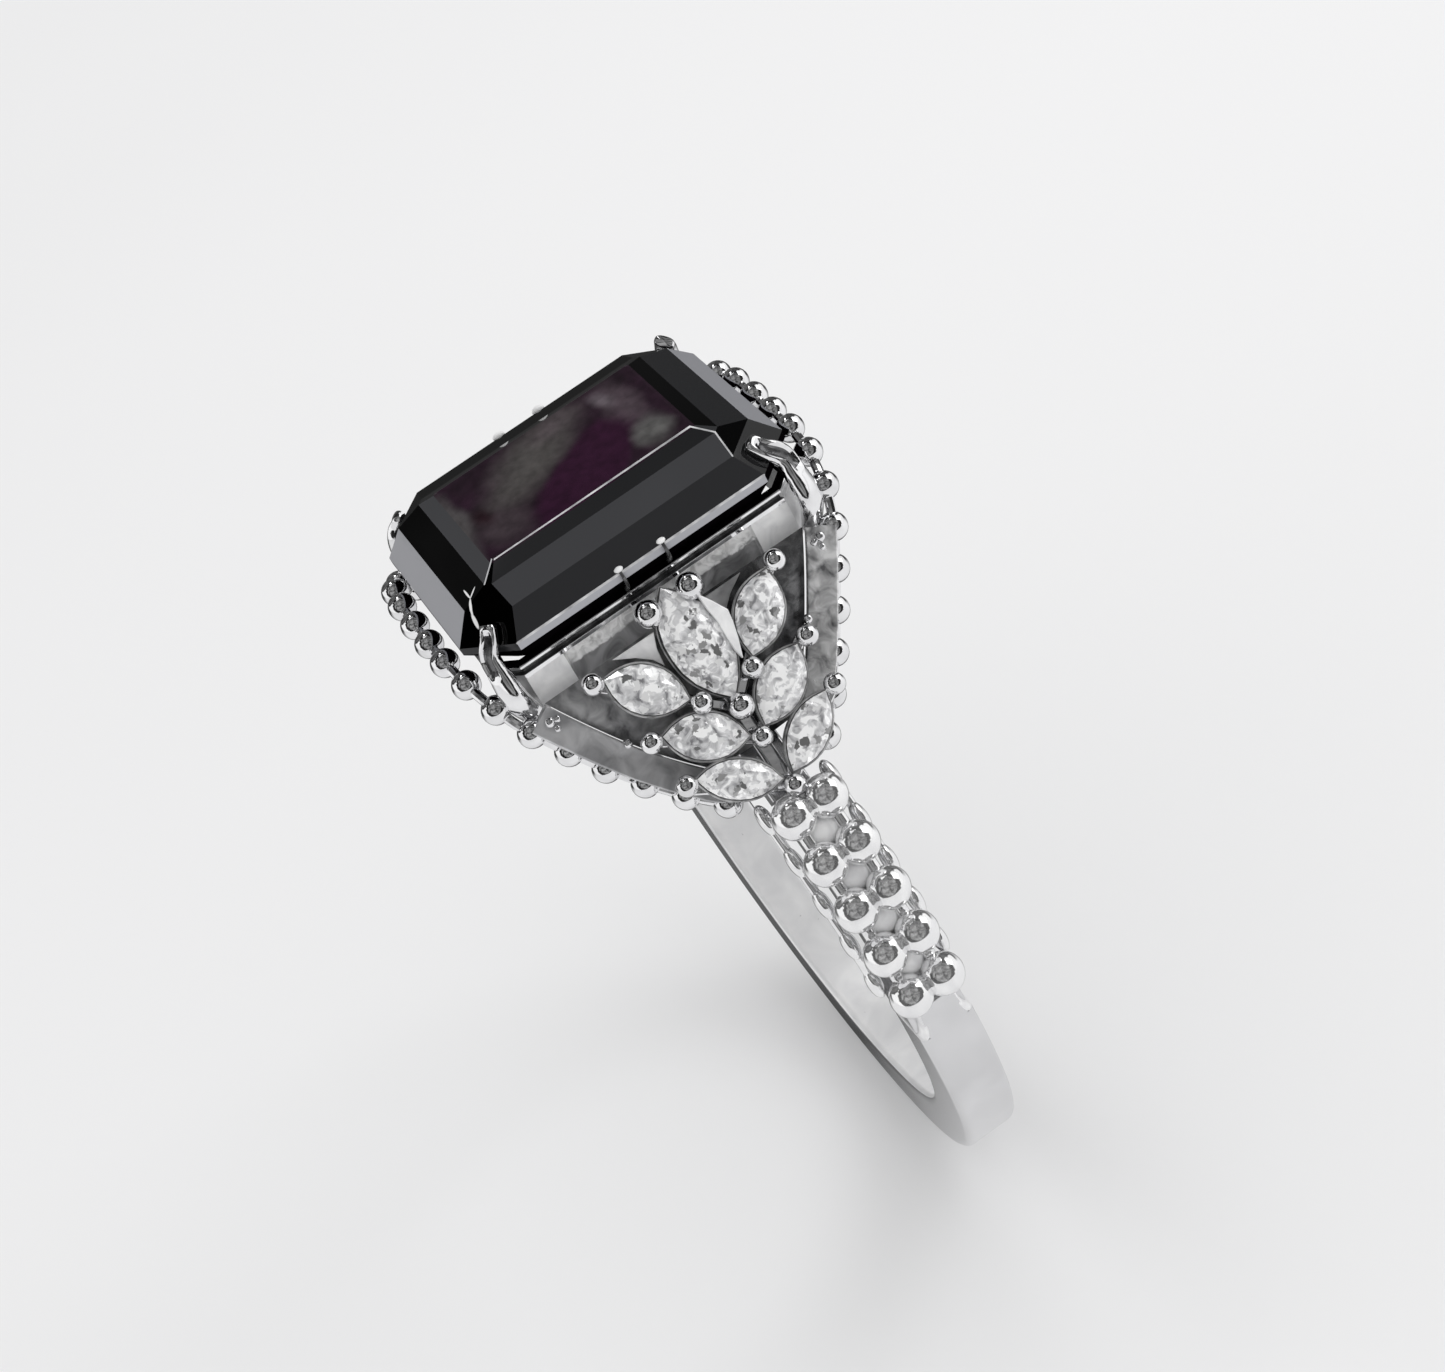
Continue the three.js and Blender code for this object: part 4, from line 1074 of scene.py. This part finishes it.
# The marquise outline: along its length a share from 1 to -1 and back, and across it half the width
# times one less a power of that share. Rows are given as shares of the way round.
def marquiseOutline(shape, way, lengthShare, widthShare, grow=0.0):
    start, end, width = np.array(shape[0]) * fit, np.array(shape[1]) * fit, shape[2] * fit
    middle, half = (start + end) / 2, (end - start) / 2
    along = half / np.linalg.norm(half)
    across = np.array([-along[1], along[0]])
    turn = 2 * (way % 1)
    share = np.where(turn <= 1, 1 - 2 * turn, 2 * turn - 3)
    edge = np.where(turn <= 1, 1, -1)
    reach = share * (np.linalg.norm(half) * lengthShare + grow)
    spread = edge * (width / 2 * widthShare + grow) * (1 - abs(share) ** marquiseLook["fullness"])
    return middle + reach[:, None] * along + spread[:, None] * across


def marquiseRow(shape, way, share, above, grow=0.0, widthShare=None):
    flat = marquiseOutline(shape, way, share, share if widthShare is None else widthShare, grow)
    return onSpray(flat[:, 0], flat[:, 1], above)


# A brilliant-style marquise: an eight-sided table, star and kite facets down to the girdle, and two
# rings of facets below it that end in a short keel.
def marquiseStone(shape):
    width = shape[2] * fit
    crown, depth = marquiseLook["crown"] * width, marquiseLook["pavilion"] * width
    edge = marquiseLook["girdle"] / 2
    (starIn, starUp), (innerIn, innerDown) = marquiseLook["star"], marquiseLook["inner"]
    eight, sixteen = np.arange(8) / 8, np.arange(16) / 16
    between = eight + 1 / 16
    rows = [
        marquiseRow(shape, eight, marquiseLook["table"], edge + crown),
        marquiseRow(shape, between, starIn, edge + crown * starUp),
        marquiseRow(shape, sixteen, 1.0, edge),
        marquiseRow(shape, sixteen, 1.0, -edge),
        marquiseRow(shape, between, innerIn, -edge - depth * innerDown),
        marquiseRow(shape, np.array([0.0, 0.5]), marquiseLook["keel"], -edge - depth),
    ]
    table, star, girdle, lower, inner, keel = np.cumsum([0] + [len(row) for row in rows[:-1]])
    i = np.arange(8)
    j = (i + 1) % 8
    odd, even, following = 2 * i + 1, 2 * i, 2 * j
    nearest = np.where((i < 2) | (i > 5), 0, 1)
    triangles = [
        (table + i, star + i, table + j),
        (table + j, star + i, girdle + following),
        (table + j, girdle + following, star + j),
        (star + i, girdle + odd, girdle + following),
        (star + i, girdle + even, girdle + odd),
        (lower + even, inner + i, lower + odd),
        (lower + odd, inner + i, lower + following),
        (lower + following, inner + i, inner + j),
        (inner + j, inner + i, keel + nearest),
    ]
    faces = [np.stack(np.broadcast_arrays(*corner), -1) for corner in triangles]
    faces.append(np.array([(inner + 2, keel, keel + 1), (inner + 6, keel + 1, keel)]))
    k = np.arange(16)
    wall = np.stack([girdle + k, lower + k, lower + (k + 1) % 16, girdle + (k + 1) % 16], -1)
    top = (table + i)[None, ::-1]  # faces out, while the other faces still face in
    return facingOut(np.concatenate(rows), [np.concatenate(faces), wall, top])


for name, shape in marquiseLook["stones"].items():
    addEach(shoulders if name == "centre" else corners, "clear_marquise_" + name, marquiseStone(shape),
            clearStone, "marquise_" + name + "_{place}", flat=True)
print("marquise stones made")

sprayLook = {
    "prongs": [((0.05, 0.65), 0.76), ((0.73, 2.85), 0.6), ((2.7, 0.8), 0.6), ((3.34, 0), 0.72),
               ((2.81, 2.45), 0.6), ((4.31, 0), 0.58), ((4.24, 2.33), 0.6), ((5.81, 0), 0.6)],
    "post": 0.28,
    "postDepth": 0.9,
    "lift": 0.1,
    "ribs": [((0.01, 0.62), (0.01, 0.0)), ((0.76, 2.83), (3.37, 0)), ((2.8, 2.43), (4.31, 0)),
             ((4.34, 2.37), (5.82, 0))],
    "ribDepth": 0.88,
    "rib": (0.16, 0.125, 0.06),  # half width, half height, edge
    "spine": ((-0.2, 0.0), (5.82, 0.0)),
    "spineSize": (0.22, 0.125, 0.08),
    "trayLip": 0.075,
    "trayTop": 0.05,
    "trayDepth": 0.78,
    "trayGap": {"centre": 0.04},
    "leaf": {
        "outline": [(0.5, 0.76), (0.5, 2.03), (0.8, 1.5), (1.11, 1.14), (1.42, 0.97), (1.2, 0.95),
                    (0.9, 0.91)],
        "rings": [(0.94, 0.0), (1.0, 0.03), (1.0, 0.17), (0.94, 0.2)],  # share of the outline, drop
        "top": -0.1,
        "slope": 0.36,
        "tilt": 0.25,
    },
    "sliver": {
        "outline": [(0.3, 0.66), (0.7, 0.9), (1.09, 1.1), (1.41, 1.04), (1.82, 0.92), (2.34, 0.72),
                    (2.07, 0.66), (1.68, 0.66), (1.23, 0.7), (0.8, 0.66)],
        "rings": [(0.9, 0.0), (1.0, 0.03), (1.0, 0.3), (0.9, 0.33)],
        "top": 0.3,
        "slope": 0.0,
        "tilt": 0.0,
    },
}


# An open tray round a stone: a thin wall from just under the girdle, drawn in towards its foot, and
# the seat inside it that follows the stone's own underside. A row is a share of the stone's length and
# of its width, how far outside that it lies, and its height.
def stoneTray(shape, gap):
    lip, top, foot = sprayLook["trayLip"], -sprayLook["trayTop"], -sprayLook["trayDepth"]
    rows = [
        (1.0, 1.0, lip, top - 0.05), (1.0, 1.0, lip - 0.03, top), (1.0, 1.0, gap + 0.02, top),
        (1.0, 1.0, gap, top - 0.03), (0.72, 0.5, 0.0, foot + 0.18), (0.66, 0.44, 0.0, foot + 0.02),
        (0.7, 0.5, 0.0, foot), (0.84, 0.7, 0.0, foot + 0.03), (0.98, 0.96, lip, top - 0.4),
    ]
    way = np.arange(64) / 64
    return loop(np.array([marquiseRow(shape, way, a, height, grow, b) for a, b, grow, height in rows]))


def sprayRib(start, end, size):
    down, aside = np.linspace(start, end, 12).T * fit
    path = onSpray(down, aside, -sprayLook["ribDepth"])
    return tube(carried(path, easedBox(*size, 4), sprayOut))


def ballProng(place, diameter):
    down, aside = place[0] * fit, place[1] * fit
    path = onSpray(down, aside, np.linspace(-sprayLook["postDepth"], sprayLook["lift"], 8))
    post = tube(carried(path, circle(sprayLook["post"] / 2, 14), sprayAcross))
    return [post, balls(path[-1], diameter / 2, 32, 22)]


# A plate from an outline whose straight edges are cut into six: four rings round it, each a share of it
# towards its middle; the height falls by the ring's drop, by a slope down and by a tilt aside.
def leafPlate(look):
    corner = np.array(look["outline"]) * fit
    step = np.arange(6)[None, :, None] / 6
    flat = (corner[:, None] + (np.roll(corner, -1, axis=0) - corner)[:, None] * step).reshape(-1, 2)
    middle = flat.mean(0)
    rings = []
    for shrink, drop in look["rings"]:
        place = middle + (flat - middle) * shrink
        fall = look["slope"] * place[:, 0] + look["tilt"] * (abs(place[:, 1]) - abs(middle[1]))
        rings.append(onSpray(place[:, 0], place[:, 1], look["top"] - drop - fall))
    return tube(np.array(rings))


def stoneTrays():
    surfaces = []
    for name, (start, end, width) in marquiseLook["stones"].items():
        for sign in (1, -1) if start[1] else (1,):
            shape = (start[0], sign * start[1]), (end[0], sign * end[1]), width
            surfaces.append(stoneTray(shape, sprayLook["trayGap"].get(name, 0.0)))
    return together(surfaces)


# The casting under the stones: ball prongs on their posts, ribs on both sides, and the spine.
def shoulderSpray():
    surfaces = []
    for (down, aside), diameter in sprayLook["prongs"]:
        for sign in (1, -1) if aside else (1,):
            surfaces += ballProng((down, sign * aside), diameter)
    for start, end in np.array(sprayLook["ribs"]):
        for mirror in ((1, 1), (1, -1)):
            surfaces.append(sprayRib(start * mirror, end * mirror, sprayLook["rib"]))
    surfaces.append(sprayRib(*sprayLook["spine"], sprayLook["spineSize"]))
    return together(surfaces)


addEach(shoulders, "spray_mount", shoulderSpray(), brightMetal, "spray_frame_{shoulder}")
# The trays take the shaded rim finish: painted shadow lines round the stones.
addEach(shoulders, "stone_trays", stoneTrays(), shadedRimMetal, "spray_frame_{shoulder}")
# Leaf plates: pale at the front, and at the back the darker copy of the plate that paints shade, beside a
# pale sliver.
addEach(frontCorners, "leaf_plate", leafPlate(sprayLook["leaf"]), plateMetal, "spray_frame_{shoulder}")
addEach(backCorners, "leaf_plate", leafPlate(sprayLook["leaf"]), shadedPlateMetal, "spray_frame_{shoulder}")
addEach(backCorners, "bright_sliver", leafPlate(sprayLook["sliver"]), plateMetal, "spray_frame_{shoulder}")
print("sprays made")

studio = {
    "floorSize": 600.0,
    "floorHeight": -10.98,
    "floor": (0.86, 0.86, 0.865),
    "floorMottle": (60.0, 0.985),  # size, and how dark its shade is
    "floorGloss": (0.9, 0.1),
    "floorShades": [(-330.0, 30.0, 300.0, 326.0, 0.06), (-14.0, 2.0, 13.0, 20.0, 0.14)],  # in reflections
    "background": (0.9, 0.9, 0.905, 1.0),
    "white": (1.0, 1.0, 1.0, 1.0),
    "diffuse": 0.9,
    "mottle": {"Scale": 2.6, "Detail": 3.0, "Distortion": 0.8},
    "mottleEnds": (0.35, 0.65),
    "ragged": 0.42,
    "windows": [(172, 80, 12)],  # azimuth, elevation, half angle
    "caps": [  # azimuth, elevation, half angle, tone, edge tone, edge width, mottle
        (-8, 54, 67, 0.2, 0.015, 16, 0.17),
        (175, 22, 49, 0.09, 0.03, 5, 0.06),
    ],
    "soft": (1.5, 4.0, 2.0),  # degrees over which a cap's rim, its middle and a window fade
    "lamps": {  # azimuth, elevation, distance, size, power
        "window": (88, 34, 260, 130, 0.12),
        "ceiling_lamp": (172, 62, 260, 34, 0.02),
    },
    "lampAim": (0.0, 0.0, 8.0),
}


# The floor's finish: pale, and in what metal and stones reflect of it, round shaded patches.
def paleFloor(tree, place):
    light, (size, dark) = studio["floor"], studio["floorMottle"]
    shade = tuple(value * dark for value in light)
    colour = rampNode(tree, noiseNode(tree, place, size), [(0.3, shade), (0.7, light)])
    glossy = addNode(tree, "LightPath").outputs["Is Glossy Ray"]
    for x, y, near, far, tone in studio["floorShades"]:
        middle = (x * metre, y * metre, studio["floorHeight"] * metre)
        distance = vectorNode(tree, "DISTANCE", place, middle, output="Value")
        inside = rangeNode(tree, distance, (near * metre, far * metre), (1.0, 0.0))
        share = mathNode(tree, "MULTIPLY", inside, glossy)
        colour = mixNode(tree, share, colour, (tone, tone, tone, 1.0))
    rough, shine = studio["floorGloss"]
    return {"Base Color": colour, "Roughness": rough, "Specular IOR Level": shine}


# The floor: a level grid of points whose height is the same everywhere.
def addFloor():
    side = np.linspace(-studio["floorSize"], studio["floorSize"], 21)
    x, y = np.meshgrid(side, side, indexing="ij")
    points = np.stack([x, y, np.full_like(x, studio["floorHeight"])], -1).reshape(-1, 3)
    faces = gridFaces(21, 21, False, False)[:, ::-1]
    mesh = bpy.data.meshes.new("floor")
    mesh.from_pydata((points * metre).tolist(), [], faces.tolist())
    mesh.materials.append(newFinish("pale_floor", paleFloor))
    floor = bpy.data.objects.new("floor", mesh)
    scene.collection.objects.link(floor)


# The unit vector towards an azimuth and an elevation.
def towards(azimuth, elevation):
    turn, rise = math.radians(azimuth), math.radians(elevation)
    return math.cos(rise) * math.cos(turn), math.cos(rise) * math.sin(turn), math.sin(rise)


# How far a direction is inside a round patch of the room: its dot product with the patch's own
# direction, pushed about by the mottle, as a share of the greatest value.
def patchShare(tree, place, mottle, azimuth, elevation):
    dot = vectorNode(tree, "DOT_PRODUCT", place, towards(azimuth, elevation), output="Value")
    pushed = mathNode(tree, "MULTIPLY_ADD", mottle, studio["ragged"], dot)
    return rangeNode(tree, pushed, (0.0, 1.0 + studio["ragged"]))


# That share at an angle from the patch's middle, where the mottle is at its mean.
def patchEdge(angle):
    return (math.cos(math.radians(angle)) + studio["ragged"] / 2) / (1.0 + studio["ragged"])


# What metal and stones reflect: white all round but for dark caps, whose border is darker than their
# middle, and small white windows in them.
def reflectedRoom(tree):
    place = addNode(tree, "TexCoord").outputs["Generated"]
    mottle = addNode(tree, "TexNoise", {"Vector": place, **studio["mottle"]}).outputs["Fac"]
    rimSoft, middleSoft, windowSoft = studio["soft"]
    colour = studio["white"][:3]
    for azimuth, elevation, half, tone, rim, width, swing in studio["caps"]:
        share = patchShare(tree, place, mottle, azimuth, elevation)
        stops = [(rimSoft, 1.0), (0.0, rim), (-width, rim), (-width - middleSoft, tone)]
        stops = [(patchEdge(half + step), (level,) * 3) for step, level in stops]
        cap = rampNode(tree, share, stops)
        swung = rangeNode(tree, mottle, studio["mottleEnds"], (1 - swing / tone, 1 + swing / tone))
        inside = mathNode(tree, "GREATER_THAN", share, stops[-1][0])
        mixed = addNode(tree, "Mix", {0: inside, 2: 1.0, 3: swung}, data_type="FLOAT").outputs[0]
        colour = vectorNode(tree, "MINIMUM", vectorNode(tree, "MULTIPLY", cap, mixed), colour)
    for azimuth, elevation, half in studio["windows"]:
        share = patchShare(tree, place, mottle, azimuth, elevation)
        stops = [(patchEdge(half + windowSoft), (0.0,) * 3), (patchEdge(half), (1.0,) * 3)]
        light = rampNode(tree, share, stops)
        colour = vectorNode(tree, "MAXIMUM", colour, light)
    return colour


# The room: plain white for diffuse light, its reflected form for metal and stones, and the pale
# background for the camera.
def addRoom():
    world = bpy.data.worlds.new("room")
    scene.world = world
    world.use_nodes = True
    tree = world.node_tree
    tree.nodes.clear()
    reflected = addNode(tree, "Background", {"Color": reflectedRoom(tree)})
    plain = addNode(tree, "Background", {"Color": studio["white"], "Strength": studio["diffuse"]})
    seen = addNode(tree, "Background", {"Color": studio["background"]})
    ray = addNode(tree, "LightPath").outputs
    glossy = mathNode(tree, "MAXIMUM", ray["Is Glossy Ray"], ray["Is Transmission Ray"])
    lit = addNode(tree, "MixShader", {0: glossy, 1: plain.outputs[0], 2: reflected.outputs[0]})
    whole = addNode(tree, "MixShader", {0: ray["Is Camera Ray"], 1: lit.outputs[0], 2: seen.outputs[0]})
    addNode(tree, "OutputWorld", {"Surface": whole.outputs[0]})


# A soft square lamp at a distance from the stone, in the direction of an azimuth and an elevation.
def addLamp(name, azimuth, elevation, distance, size, power):
    light = bpy.data.lights.new(name, "AREA")
    light.shape = "RECTANGLE"
    light.size = light.size_y = size * metre
    light.energy = power
    lamp = bpy.data.objects.new(name, light)
    facing = np.array(towards(azimuth, elevation))
    side = unit(np.cross([0.0, 0.0, 1.0], facing))
    spin = Matrix(np.stack([side, np.cross(facing, side), facing], 1).tolist()).to_4x4()
    place = (np.array(studio["lampAim"]) + facing * distance) * metre
    lamp.matrix_world = Matrix.Translation(place.tolist()) @ spin
    scene.collection.objects.link(lamp)


cameraLook = {
    "place": (56.699, -7.664, 51.282),
    "right": (0.43045393, 0.81657646, -0.38459368),
    "up": (-0.46307517, 0.5655298, 0.68244958),
    "back": (0.77477145, -0.11566732, 0.62157081),
    "focalPixels": 2535.9,
    "imageWidth": 1445,
    "sensor": 36.0,
    "clip": (0.004, 10.0),
}


def addCamera():
    data = bpy.data.cameras.new("camera")
    data.sensor_fit = "HORIZONTAL"
    data.sensor_width = cameraLook["sensor"]
    data.lens = cameraLook["focalPixels"] / cameraLook["imageWidth"] * cameraLook["sensor"]
    data.clip_start, data.clip_end = cameraLook["clip"]
    camera = bpy.data.objects.new("camera", data)
    axes = np.array([cameraLook["right"], cameraLook["up"], cameraLook["back"]]).T
    place = np.array(cameraLook["place"]) * metre
    camera.matrix_world = Matrix.Translation(place.tolist()) @ Matrix(axes.tolist()).to_4x4()
    scene.collection.objects.link(camera)
    scene.camera = camera


addFloor()
addRoom()
for name, lampLook in studio["lamps"].items():
    addLamp(name, *lampLook)
addCamera()
print("studio made")
